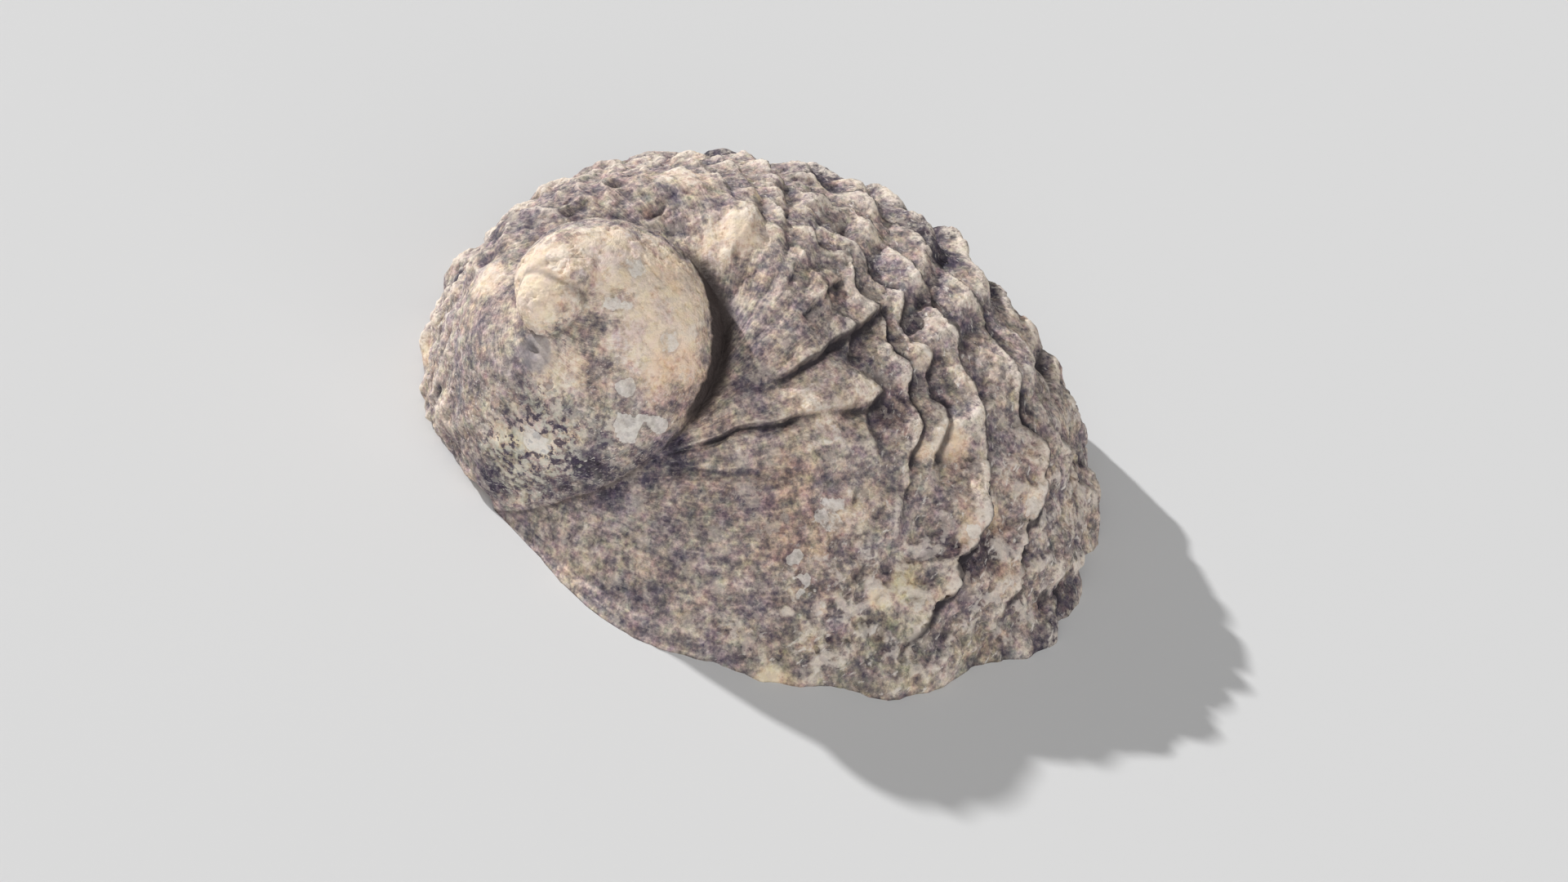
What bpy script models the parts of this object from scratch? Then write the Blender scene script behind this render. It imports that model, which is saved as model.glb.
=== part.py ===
# Fossil abalone: one hollow, spirally grown shell lying aperture down.
# Millimetres are used for every named size; the finished mesh is scaled to metres.
# The shell is the path of a growth ring that shrinks as it turns back round the spire axis.
import bmesh
import bpy
import numpy as np

# Overall growth of the shell
MM = 0.001
GROWTH_PER_RADIAN = 0.218
AXIS_LEAN_DEG = 33.3
AXIS_AZIMUTH_DEG = -91.7
POLE_HEIGHT = 46.2
CREST_RADIUS = 74.8
CREST_DROP = 74.0
CREST_START_DEG = 36.7
CREST_ANGLE = -0.20
SUTURE_ANGLE = 4.15
RING_LAG = SUTURE_ANGLE - CREST_ANGLE
SPIRE_TURNS_BACK = 3.0
CREST_DIP = 0.022
CREST_DIP_ANGLE = 1.15

# Outer lip of the final ring on the resting plane, from the crest end to the suture end
MARGIN_POINTS = [
    (71.6, 70.4),
    (73.5, 64.4),
    (76.0, 58.0),
    (78.2, 50.7),
    (79.3, 42.5),
    (78.5, 33.6),
    (75.0, 25.5),
    (70.3, 13.3),
    (62.4, 6.5),
    (56.5, 0.4),
    (47.6, -4.1),
    (38.6, -8.6),
    (32.0, -10.5),
    (23.4, -11.1),
    (14.4, -10.0),
    (7.2, -9.2),
    (2.5, -8.6),
]

# Arch of the earlier rings above the spire cone, by position along the ring
ARCH_AT = [0.0, 0.1, 0.2, 0.3, 0.4, 0.5, 0.6, 0.7, 0.8, 0.9, 0.95, 1.0]
ARCH_HEIGHT = [0.0, 0.8, 1.8, 3.1, 4.2, 5.5, 7.3, 8.8, 8.6, 4.9, 2.3, 0.0]
SPIRE_ARCH = [0.0, 4.0, 6.6, 8.2, 9.2, 9.8, 10.0, 9.8, 8.6, 4.9, 2.3, 0.0]
SPIRE_ARCH_FROM = 3.8

# Step from the crest of a whorl down to the suture, by growth angle
STEP_AT = [4.15, 4.6, 5.2, 5.7, 6.2, 6.8, 7.5, 8.3, 9.5, 10.2, 10.7, 11.3, 16.0]
STEP_DOWN = [4.9, 1.2, 1.0, 3.0, 5.4, 5.4, 3.8, 2.0, 1.2, 1.0, 0.3, 0.05, 0.02]
STEP_OUT = [0.0, 0.1, 0.1, 0.3, 0.7, 0.9, 0.9, 0.6, 0.3, 0.3, 0.1, 0.0, 0.0]

# Hidden left wall below the crest: reach of its foot outside the crest, by crest angle
FOOT_AT = [-0.2, 0.1, 0.6, 1.2, 2.0, 2.5, 3.0, 3.4, 3.7, 3.95, 4.08, 4.15]
FOOT_REACH = [0.0, 5.0, 8.5, 9.5, 7.0, 2.0, -0.6, -1.4, -2.4, -3.4, -2.0, 0.0]

# Row of teeth along the crest: (growth angle, height in mm) of each tip and of each dip
TOOTH_TIPS = [
    (-0.08, 0.2), (0.14, -0.3), (0.24, 0.5), (0.36, -0.5), (0.48, -0.9), (0.68, 0.8),
    (0.92, 0.4), (1.16, 0.2), (1.46, 0.4), (1.72, 0.7), (1.88, 1.5), (2.12, 1.8),
    (2.28, 1.0), (2.56, 1.3), (2.80, 0.5), (3.02, 0.6), (3.32, -0.1),
]
TOOTH_DIPS = [
    (0.0, -1.2), (0.19, -0.5), (0.29, -2.1), (0.43, -2.0), (0.55, -3.3), (0.78, -3.3),
    (1.02, -2.7), (1.26, -2.8), (1.58, -0.4), (1.80, 0.1), (2.0, 0.5), (2.20, -0.4),
    (2.44, -0.4), (2.70, -0.8), (2.93, -0.6), (3.22, -2.0), (3.50, -0.9), (4.1, -0.2),
]
TOOTH_REACH = 0.09

# Spiral ribs: (back, place) along each rib's ledge, with its height, drop and slope widths
RIB_FOURTH = [
    (0.0, -0.10), (0.16, 0.01), (0.21, 0.04), (0.39, 0.183), (0.46, 0.229), (0.55, 0.246),
    (0.63, 0.25), (0.71, 0.237), (0.79, 0.25), (0.92, 0.235), (1.02, 0.215), (1.15, 0.23),
    (1.30, 0.19), (1.45, 0.21), (1.65, 0.19), (1.9, 0.20), (2.2, 0.19), (2.6, 0.20), (4.4, 0.20),
]
RIB_THIRD = [
    (0.0, 0.335), (0.08, 0.333), (0.12, 0.327), (0.17, 0.338), (0.20, 0.317), (0.26, 0.331),
    (0.30, 0.315), (0.34, 0.319), (0.36, 0.292), (0.43, 0.304), (0.48, 0.296), (0.51, 0.292),
    (0.58, 0.317), (0.65, 0.323), (0.74, 0.321), (0.86, 0.323), (0.91, 0.306), (0.975, 0.335),
    (1.046, 0.333), (1.085, 0.310), (1.18, 0.335), (1.25, 0.308), (1.30, 0.300), (1.39, 0.333),
    (1.45, 0.300), (1.58, 0.335), (1.66, 0.315), (1.77, 0.36), (1.9, 0.33), (2.1, 0.345),
    (2.3, 0.325), (2.6, 0.34), (3.0, 0.33), (3.5, 0.335), (4.4, 0.33),
]
RIB_SECOND = [
    (0.0, 0.458), (0.13, 0.475), (0.20, 0.467), (0.25, 0.471), (0.26, 0.450), (0.31, 0.438),
    (0.355, 0.458), (0.37, 0.425), (0.42, 0.421), (0.50, 0.433), (0.55, 0.425), (0.62, 0.415),
    (0.69, 0.433), (0.73, 0.440), (0.77, 0.433), (0.81, 0.433), (0.90, 0.440), (0.95, 0.427),
    (1.02, 0.452), (1.085, 0.442), (1.13, 0.410), (1.20, 0.444), (1.29, 0.433), (1.36, 0.410),
    (1.48, 0.431), (1.53, 0.405), (1.64, 0.445), (1.73, 0.475), (1.79, 0.446), (1.9, 0.47),
    (2.1, 0.455), (2.35, 0.475), (2.6, 0.455), (3.0, 0.465), (3.5, 0.455), (4.4, 0.46),
]
RIB_BETWEEN = [
    (0.0, 0.50), (0.70, 0.512), (0.73, 0.508), (0.79, 0.502), (0.85, 0.519), (0.96, 0.506),
    (1.046, 0.531), (1.12, 0.529), (1.20, 0.504), (1.32, 0.53), (1.42, 0.512), (1.6, 0.535),
    (1.8, 0.55), (2.0, 0.54), (2.4, 0.55), (3.0, 0.55), (4.4, 0.55),
]
RIB_FIRST = [
    (0.0, 0.55), (0.46, 0.556), (0.52, 0.573), (0.57, 0.571), (0.62, 0.556), (0.72, 0.569),
    (0.77, 0.558), (0.83, 0.556), (0.89, 0.562), (1.0, 0.565), (1.07, 0.581), (1.16, 0.583),
    (1.24, 0.573), (1.345, 0.602), (1.42, 0.600), (1.48, 0.577), (1.56, 0.602), (1.65, 0.626),
    (1.75, 0.635), (1.88, 0.652), (1.96, 0.608), (2.1, 0.64), (2.3, 0.625), (2.6, 0.64), (4.4, 0.64),
]
RIB_INNER = [
    (0.0, 0.63), (0.71, 0.629), (0.78, 0.637), (0.85, 0.648), (0.88, 0.648), (0.94, 0.642),
    (0.97, 0.627), (1.01, 0.642), (1.09, 0.664), (1.16, 0.677), (1.27, 0.665), (1.40, 0.69),
    (1.6, 0.70), (1.8, 0.715), (2.1, 0.72), (4.4, 0.73),
]
RIB_LINES = [RIB_FOURTH, RIB_THIRD, RIB_SECOND, RIB_BETWEEN, RIB_FIRST, RIB_INNER]
RIB_HEIGHTS = [1.9, 2.7, 2.9, 1.4, 2.2, 1.3]
RIB_STARTS = [-0.3, 0.06, 0.06, 0.52, 0.40, 0.68]
RIB_DROPS = [0.018, 0.012, 0.011, 0.011, 0.012, 0.012]
RIB_SLOPES = [0.10, 0.095, 0.085, 0.05, 0.06, 0.05]

# Growth folds: leading edges at the crest, and how they bend across the shell
FOLD_EDGES = [
    -0.10, 0.04, 0.30, 0.56, 0.82, 1.03, 1.27, 1.50, 1.70, 1.88, 2.05, 2.22,
    2.41, 2.58, 2.76, 2.95, 3.14, 3.34, 3.55, 3.77, 4.0, 4.25, 4.5, 4.8,
]
FOLD_AT = [0.0, 0.1, 0.2, 0.35, 0.5, 0.65, 0.8, 1.0]
FOLD_HEIGHT = [3.0, 2.6, 1.9, 1.5, 1.3, 1.0, 0.5, 0.1]
FOLD_DROP = 0.34
RIB_LOBE = 0.012

# Lobes of the final lip: place, and height in mm outward from the plain curve
LIP_LOBES = [
    (0.0, -0.4), (0.03, -1.6), (0.05, -3.6), (0.075, -1.2), (0.10, 0.8), (0.125, 0.7),
    (0.15, 0.0), (0.175, -1.4), (0.20, 0.8), (0.25, -0.4), (0.28, -2.4), (0.30, -2.7),
    (0.325, -2.9), (0.35, -1.2), (0.375, 0.2), (0.425, 0.0), (0.45, 0.8), (0.475, 0.0),
    (0.50, -1.2), (0.525, -0.8), (0.55, -0.4), (0.575, -1.2), (0.60, -0.6), (0.625, -1.4),
    (0.65, -1.4), (0.675, 0.0), (0.72, 0.3), (0.80, 0.0), (0.88, -0.3), (1.0, 0.0),
]

# Single steps and grooves across the shell: (place, back) of the line
DEEP_STEP = [
    (0.30, 1.12), (0.44, 1.17), (0.50, 1.205), (0.57, 1.234), (0.633, 1.242), (0.675, 1.25),
    (0.72, 1.282), (0.758, 1.266), (0.792, 1.284), (0.83, 1.29), (0.90, 1.33),
]
LONG_GROOVE = [
    (0.60, 0.93), (0.667, 0.951), (0.704, 0.983), (0.746, 1.014), (0.775, 1.03), (0.808, 1.03),
    (0.833, 1.046), (0.862, 1.069), (0.887, 1.069), (0.90, 1.04), (0.917, 1.03), (0.946, 1.03),
    (0.971, 1.0), (1.0, 0.98),
]
SOFT_GROOVE = [(0.68, 0.765), (0.725, 0.778), (0.787, 0.802), (0.846, 0.818), (0.90, 0.841), (0.97, 0.87)]
STEP_EDGE = 0.018
CREAM_RIDGE = [(0.70, 2.05), (0.733, 2.075), (0.812, 2.145), (0.875, 2.23), (0.908, 2.28), (0.97, 2.40)]
SHORT_STEPS = [
    ([(0.60, 1.44), (0.625, 1.455), (0.675, 1.486), (0.708, 1.478), (0.746, 1.502), (0.80, 1.52)], 1.5),
    ([(0.68, 1.68), (0.713, 1.698), (0.754, 1.722), (0.787, 1.722), (0.83, 1.74)], 1.1),
]

# Soft hollows and lumps: back, place, reach in back, reach in place, height in mm
SPOTS = [
    (0.629, 0.642, 0.050, 0.012, -0.7), (0.487, 0.637, 0.050, 0.020, -0.4), (0.338, 0.583, 0.07, 0.025, -0.5),
    (0.92, 0.717, 0.05, 0.010, -0.4), (0.747, 0.70, 0.05, 0.018, -0.4), (0.53, 0.60, 0.06, 0.020, -0.4),
    (0.29, 0.52, 0.09, 0.040, 1.4), (0.12, 0.53, 0.07, 0.035, 1.3), (0.40, 0.60, 0.06, 0.030, 0.8),
    (0.39, 0.45, 0.04, 0.016, 0.9), (0.35, 0.31, 0.05, 0.020, 1.0), (0.24, 0.40, 0.06, 0.030, 1.0),
    (0.10, 0.40, 0.05, 0.030, 1.2), (0.17, 0.22, 0.06, 0.030, 1.3), (0.08, 0.12, 0.05, 0.030, 1.2),
    (0.05, 0.62, 0.05, 0.020, 0.7), (0.17, 0.60, 0.05, 0.020, 0.6), (0.28, 0.10, 0.05, 0.030, 0.8),
]
PIT_BACK = 5.79
PIT_PLACE = 0.81
PROTOCONCH_CENTRE = (1.0, 0.5, 37.6)
PROTOCONCH_RADIUS = 5.5

# Wall of the shell and the mesh
WALL_THICKNESS = 2.6
LIP_WIDTH = 2.8
ROWS_PER_LAG = 230
RING_STEPS = 150
WALL_STEPS = 12
APEX_RINGS = 14
BOWL_RINGS = 26
BOWL_CENTRE = (30.0, 45.0)
CELL = 1.0
TRIANGLE_TARGET = 9300


def unit(vector):
    return vector / np.linalg.norm(vector, axis=-1)[..., None]


def smooth(value):
    value = np.clip(value, 0.0, 1.0)
    return value * value * (3.0 - 2.0 * value)


lean = np.radians(AXIS_LEAN_DEG)
azimuth = np.radians(AXIS_AZIMUTH_DEG)
AXIS = np.array([np.sin(lean) * np.cos(azimuth), np.sin(lean) * np.sin(azimuth), np.cos(lean)])
SIDE = unit(np.array([1.0, 0.0, 0.0]) - AXIS[0] * AXIS)
ACROSS = np.cross(AXIS, SIDE)
POLE = np.array([0.0, 0.0, POLE_HEIGHT])


def radial(angle):
    turn = angle + np.radians(CREST_START_DEG)
    return np.cos(turn)[..., None] * SIDE + np.sin(turn)[..., None] * ACROSS


def crest(angle):
    angle = np.asarray(angle, float)
    dip = CREST_DIP * smooth(1.0 - np.abs(angle - CREST_DIP_ANGLE) / 0.95)
    size = (np.exp(-GROWTH_PER_RADIAN * angle) * (1.0 - dip))[..., None]
    return POLE + size * (CREST_RADIUS * radial(angle) - CREST_DROP * AXIS)


def turned(vector, angle):
    cos = np.cos(angle)[..., None]
    sin = np.sin(angle)[..., None]
    along = (vector @ AXIS)[..., None]
    return vector * cos + np.cross(AXIS, vector) * sin + (1.0 - cos) * along * AXIS


def spline_at(points, places):
    """Smooth curve through the points, read at places from 0 to 1 of its length."""
    points = np.asarray(points, float)
    gaps = np.linalg.norm(np.diff(points, axis=0), axis=1)
    knots = np.concatenate([[0.0], np.cumsum(gaps)]) / gaps.sum()
    slopes = np.gradient(points, knots, axis=0)
    index = np.clip(np.searchsorted(knots, places, side="right") - 1, 0, len(knots) - 2)
    span = (knots[index + 1] - knots[index])[..., None]
    t = (places - knots[index])[..., None] / span
    a = points[index]
    b = points[index + 1]
    da = slopes[index] * span
    db = slopes[index + 1] * span
    return (
        (2 * t**3 - 3 * t**2 + 1) * a
        + (t**3 - 2 * t**2 + t) * da
        + (3 * t**2 - 2 * t**3) * b
        + (t**3 - t**2) * db
    )


def margin(place):
    flat = spline_at(MARGIN_POINTS, place)
    plan = np.zeros(flat.shape[:-1] + (3,))
    plan[..., :2] = flat
    return plan


def arch_of(vector):
    """Height above the cone through the crest, and the direction of that height."""
    height = vector @ AXIS
    radius = np.sqrt(np.maximum((vector * vector).sum(-1) - height * height, 1e-6))
    long = np.hypot(CREST_RADIUS, CREST_DROP)
    outward = (vector - height[..., None] * AXIS) / radius[..., None]
    lift = (radius * CREST_DROP + height * CREST_RADIUS) / long
    return lift, (outward * CREST_DROP + AXIS * CREST_RADIUS) / long


def suture_foot(angle):
    """Foot of the step below the crest, where the next whorl is attached."""
    angle = np.asarray(angle, float)
    blend = smooth((angle - SUTURE_ANGLE) / 1.2)[..., None]
    down = unit(-AXIS * blend + np.array([0.0, 0.0, -1.0]) * (1.0 - blend))
    depth = np.interp(angle, STEP_AT, STEP_DOWN)[..., None]
    reach = np.interp(angle, STEP_AT, STEP_OUT)[..., None]
    return crest(angle) + depth * down + reach * radial(angle)


def floor_foot(angle):
    """Foot of the hidden left wall on the resting plane."""
    angle = np.asarray(angle, float)
    top = crest(angle)
    ahead = crest(angle + 0.001) - top
    outward = unit(np.stack([ahead[..., 1], -ahead[..., 0]], -1))
    foot = np.zeros(top.shape)
    foot[..., :2] = top[..., :2] + outward * np.interp(angle, FOOT_AT, FOOT_REACH)[..., None]
    return foot


def ring_vector(place, blend, spire):
    vector = margin(place) - POLE
    lift, direction = arch_of(vector)
    wanted = np.interp(place, ARCH_AT, ARCH_HEIGHT) * (1.0 - spire)
    wanted = wanted + np.interp(place, ARCH_AT, SPIRE_ARCH) * spire
    return vector + ((wanted - lift) * blend)[..., None] * direction


def ring_point(back, place):
    """Point of the smooth outer surface at a growth place."""
    back, place = np.broadcast_arrays(np.asarray(back, float), np.asarray(place, float))
    blend = smooth((back - 0.1) / 1.7)
    spire = smooth((back - SPIRE_ARCH_FROM) / 1.2)
    size = np.exp(-GROWTH_PER_RADIAN * back)[..., None]
    start = ring_vector(np.zeros(place.shape), blend, spire)
    end = ring_vector(np.ones(place.shape), blend, spire)
    point = POLE + size * turned(ring_vector(place, blend, spire), back)
    start_gap = crest(back + CREST_ANGLE) - POLE - size * turned(start, back)
    end_gap = suture_foot(back + SUTURE_ANGLE) - POLE - size * turned(end, back)
    end_gap[..., 2] *= np.where(back < 1e-6, 0.0, 1.0)
    near_start = smooth(1.0 - place / 0.3)[..., None] * smooth(back / 0.3)[..., None]
    near_end = smooth((place - 0.6) / 0.4)[..., None]
    return point + near_start * start_gap + near_end * end_gap


def lattice_noise(points, seed):
    """Smooth noise from -1 to 1 that changes over one unit."""
    cell = np.floor(points).astype(np.int64)
    part = points - cell
    part = part * part * (3.0 - 2.0 * part)
    total = np.zeros(points.shape[:-1])
    for corner in range(8):
        step = np.array([corner & 1, corner >> 1 & 1, corner >> 2 & 1])
        at = cell + step
        mixed = at[..., 0] * 73856093 ^ at[..., 1] * 19349663 ^ at[..., 2] * 83492791 ^ seed * 5915587
        mixed = ((mixed ^ (mixed >> 13)) * 1274126177) & 0x7FFFFFFF
        value = ((mixed >> 9) & 0xFFFF) / 32767.5 - 1.0
        weight = np.where(step == 1, part, 1.0 - part).prod(axis=-1)
        total = total + value * weight
    return total


def skyline(angle):
    """Height in mm of the row of teeth along the crest."""
    knots = np.array(sorted(TOOTH_TIPS + TOOTH_DIPS))
    index = np.clip(np.searchsorted(knots[:, 0], angle) - 1, 0, len(knots) - 2)
    span = knots[index + 1, 0] - knots[index, 0]
    part = smooth((angle - knots[index, 0]) / span)
    return knots[index, 1] + (knots[index + 1, 1] - knots[index, 1]) * part


def line_at(line, at):
    points = np.array(line)
    return np.interp(at, points[:, 0], points[:, 1])


def step_across(back, place, line, depth, reach):
    """A step down towards the lip along a line, deepest at its foot and rising again in front."""
    gap = back - line_at(line, place)
    return -depth * np.where(gap > 0.0, 1.0 - smooth(gap / STEP_EDGE), 1.0 - smooth(-gap / reach))


def rib_relief(back, place, swell):
    """Spiral ribs: each climbs slowly from the suture side and drops on the tooth side."""
    height = np.zeros(np.shape(back + place))
    young = 0.45 + 0.55 * smooth((back - 0.22) / 0.2)
    steps = zip(RIB_LINES, RIB_HEIGHTS, RIB_STARTS, RIB_DROPS, RIB_SLOPES)
    for line, amount, start, drop, slope in steps:
        offset = place - line_at(line, back) + RIB_LOBE * (swell - 0.5)
        shape = np.where(offset < 0.0, 1.0 - smooth(-offset / drop), 1.0 - smooth(offset / slope))
        shape = shape * smooth((back - start) / 0.14) * young
        height = height + amount * shape * (0.75 + 0.35 * swell)
    return height


def fold_phase(back, place, wander):
    """Growth folds: 0 at a fold's leading edge, 1 at the next edge behind it."""
    shifted = back - 0.12 * smooth(place / 0.6) + wander
    count = np.interp(shifted, FOLD_EDGES, np.arange(len(FOLD_EDGES)))
    return count - np.floor(count)


def sculpture(back, place, points):
    """Height of all the sculpture in millimetres at the size of the final whorl."""
    wander = 0.035 * lattice_noise(np.stack([back * 3.0, place * 9.0, 0.0 * back], -1), 11)
    phase = fold_phase(back, place, wander)
    rest = 1.0 - FOLD_DROP
    swell = np.where(phase < FOLD_DROP, smooth(phase / FOLD_DROP), 1.0 - smooth((phase - FOLD_DROP) / rest))
    fade = smooth((4.6 - back) / 1.2) * (0.5 + 0.5 * smooth((3.2 - back) / 1.4))
    low_side = smooth((0.80 - place) / 0.22)
    ribs = rib_relief(back, place, swell)
    folds = np.interp(place, FOLD_AT, FOLD_HEIGHT) * (swell - 0.8 + 0.2 * smooth(place / 0.25))
    folds = folds * smooth(place / TOOTH_REACH)
    folds = folds * (1.0 - (1.0 - smooth((back - 0.40) / 0.35)) * (0.35 + 0.35 * smooth((place - 0.15) / 0.2)))
    front = smooth((back - 0.55) / 0.3)
    inner = smooth((0.74 - place) / 0.14)
    height = ribs * np.where(place < 0.5, 1.0, 0.25 + 0.75 * np.maximum(front, smooth((0.6 - place) / 0.1)))
    height = height * (0.35 + 0.65 * inner) + folds - 1.6 * low_side * smooth(place / 0.1) * smooth(back / 0.15)
    steps = step_across(back, place, DEEP_STEP, 2.6, 0.15)
    height = height + steps * smooth((place - 0.50) / 0.08) * smooth((0.90 - place) / 0.12)
    uneven = 1.0 + 0.4 * lattice_noise(points / 6.0, 31)
    moved = back + 0.008 * lattice_noise(points / 4.0, 33)
    long_groove = step_across(moved, place, LONG_GROOVE, 1.5, 0.075) * uneven
    height = height + long_groove * smooth((place - 0.60) / 0.06)
    soft_groove = step_across(moved, place, SOFT_GROOVE, 0.8, 0.09) * uneven
    height = height + soft_groove * smooth((place - 0.66) / 0.06) * smooth((1.0 - place) / 0.08)
    for line, depth in SHORT_STEPS:
        ends = smooth((place - line[0][0]) / 0.04) * smooth((line[-1][0] - place) / 0.04)
        height = height + step_across(back, place, line, depth, 0.11) * ends
    gap = back - line_at(CREAM_RIDGE, place)
    ridge = np.where(gap < 0.0, 1.0 - smooth(-gap / 0.035), 1.0 - smooth(gap / 0.22))
    height = height + 1.5 * ridge * smooth((place - 0.68) / 0.08) * smooth((0.99 - place) / 0.10)
    return height * fade


def relief(back, place, points):
    """Outward height in millimetres at each growth place."""
    size = np.exp(-GROWTH_PER_RADIAN * back)
    height = sculpture(back, place, points)
    teeth = skyline(back + CREST_ANGLE) * (1.0 - smooth((place - 0.04) / TOOTH_REACH)) * smooth((4.3 - back) / 0.5)
    ends = smooth((1.0 - place) / 0.10)
    pit = np.hypot((back - PIT_BACK) / 0.17, (place - PIT_PLACE) / 0.065)
    dent = -1.3 * (1.0 - smooth(pit / 1.0))
    lumps = 0.55 * lattice_noise(points / 7.0, 3)
    lumps = lumps * (0.35 + 0.65 * smooth((4.6 - back) / 0.6)) * smooth((1.0 - place) / 0.06)
    bent_back = back + 0.02 * lattice_noise(points / 3.0, 41)
    bent_place = place + 0.01 * lattice_noise(points / 3.0, 43)
    for spot_back, spot_place, long, wide, amount in SPOTS:
        gap = np.hypot((bent_back - spot_back) / long, (bent_place - spot_place) / wide)
        lumps = lumps + amount * (1.0 - smooth(gap))
    ridged = 1.0 - np.abs(lattice_noise(points / 4.5, 51)) - 0.6 * np.abs(lattice_noise(points / 2.4, 53))
    net = smooth((back - 2.5) / 0.4) * smooth((4.5 - back) / 0.5) * smooth((1.0 - place) / 0.1)
    lumps = lumps + 1.5 * (ridged - 0.55) * net
    lobes = np.interp(place, *np.transpose(LIP_LOBES)) * (1.0 - smooth(back / 0.16))
    return size * height * ends + teeth + dent + lumps + lobes


def surface_normals(grid):
    along = np.gradient(grid, axis=0)
    across = np.gradient(grid, axis=1)
    normal = np.cross(along, across)
    length = np.linalg.norm(normal, axis=-1)[..., None]
    normal = normal / np.maximum(length, 1e-9)
    middle = normal[grid.shape[0] // 4, grid.shape[1] // 2]
    return normal if middle[2] > 0 else -normal


def with_dome(points):
    """Round the spiral's first whorls into the protoconch, a dome at the top of the spire."""
    centre = np.array(PROTOCONCH_CENTRE)
    vector = points - centre
    distance = np.maximum(np.linalg.norm(vector, axis=-1), 1e-6)
    along = vector @ AXIS
    aside = np.sqrt(np.maximum(distance**2 - along**2, 0.0))
    inside = smooth((PROTOCONCH_RADIUS - 0.9 - aside) / 1.6) * (along > 0.0)
    raised = 0.5 * (distance + PROTOCONCH_RADIUS + np.sqrt((distance - PROTOCONCH_RADIUS) ** 2 + 2.2))
    raised = distance + (raised - distance) * smooth((PROTOCONCH_RADIUS + 5.0 - distance) / 3.0)
    wanted = raised + (PROTOCONCH_RADIUS - raised) * inside
    return centre + vector * (wanted / distance)[..., None]


def outer_grid():
    rows = int(round(ROWS_PER_LAG * SPIRE_TURNS_BACK)) + 1
    back = np.arange(rows) * RING_LAG / ROWS_PER_LAG
    place = np.linspace(0.0, 1.0, RING_STEPS + 1)
    wide_back = np.broadcast_to(back[:, None], (rows, RING_STEPS + 1))
    wide_place = np.broadcast_to(place[None, :], wide_back.shape)
    smooth_sheet = ring_point(wide_back, wide_place)
    normal = surface_normals(smooth_sheet)
    amount = relief(wide_back, wide_place, smooth_sheet)
    sheet = smooth_sheet + normal * amount[..., None]
    # The final lip stays on the resting plane while its outline keeps the sculpture
    sheet[0, :, 2] = 0.0
    early = smooth(back / 0.10)[:, None]
    sheet[..., 2] = sheet[..., 2] * early + np.maximum(smooth_sheet[..., 2], 0.0) * (1.0 - early)
    # The seams are shared exactly: the last point of a ring lies on the foot of the whorl behind it
    sheet[:, -1] = smooth_sheet[:, -1]
    sheet[0, -1, 2] = 0.0
    foot = np.zeros((rows, 3))
    inside = back < RING_LAG - 1e-9
    foot[inside] = floor_foot(back[inside] + CREST_ANGLE)
    later = np.nonzero(~inside)[0]
    foot[later] = sheet[later - ROWS_PER_LAG, -1]
    foot[0] = sheet[0, 0]
    down = np.linspace(0.0, 1.0, WALL_STEPS + 1)[:-1]
    wall = foot[:, None] + (sheet[:, :1] - foot[:, None]) * down[None, :, None]
    height = np.linalg.norm(sheet[:, 0] - foot, axis=1)
    outward = unit(np.cross(np.gradient(sheet[:, 0], axis=0), sheet[:, 0] - foot + 1e-6))
    side = np.sign((outward * radial(back + CREST_ANGLE)).sum(-1))[:, None]
    belly = 0.07 * height[:, None] * np.sin(np.pi * down)[None, :]
    wall = wall + (outward * side)[:, None] * belly[..., None]
    return back, with_dome(np.concatenate([wall, sheet], axis=1))


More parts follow.
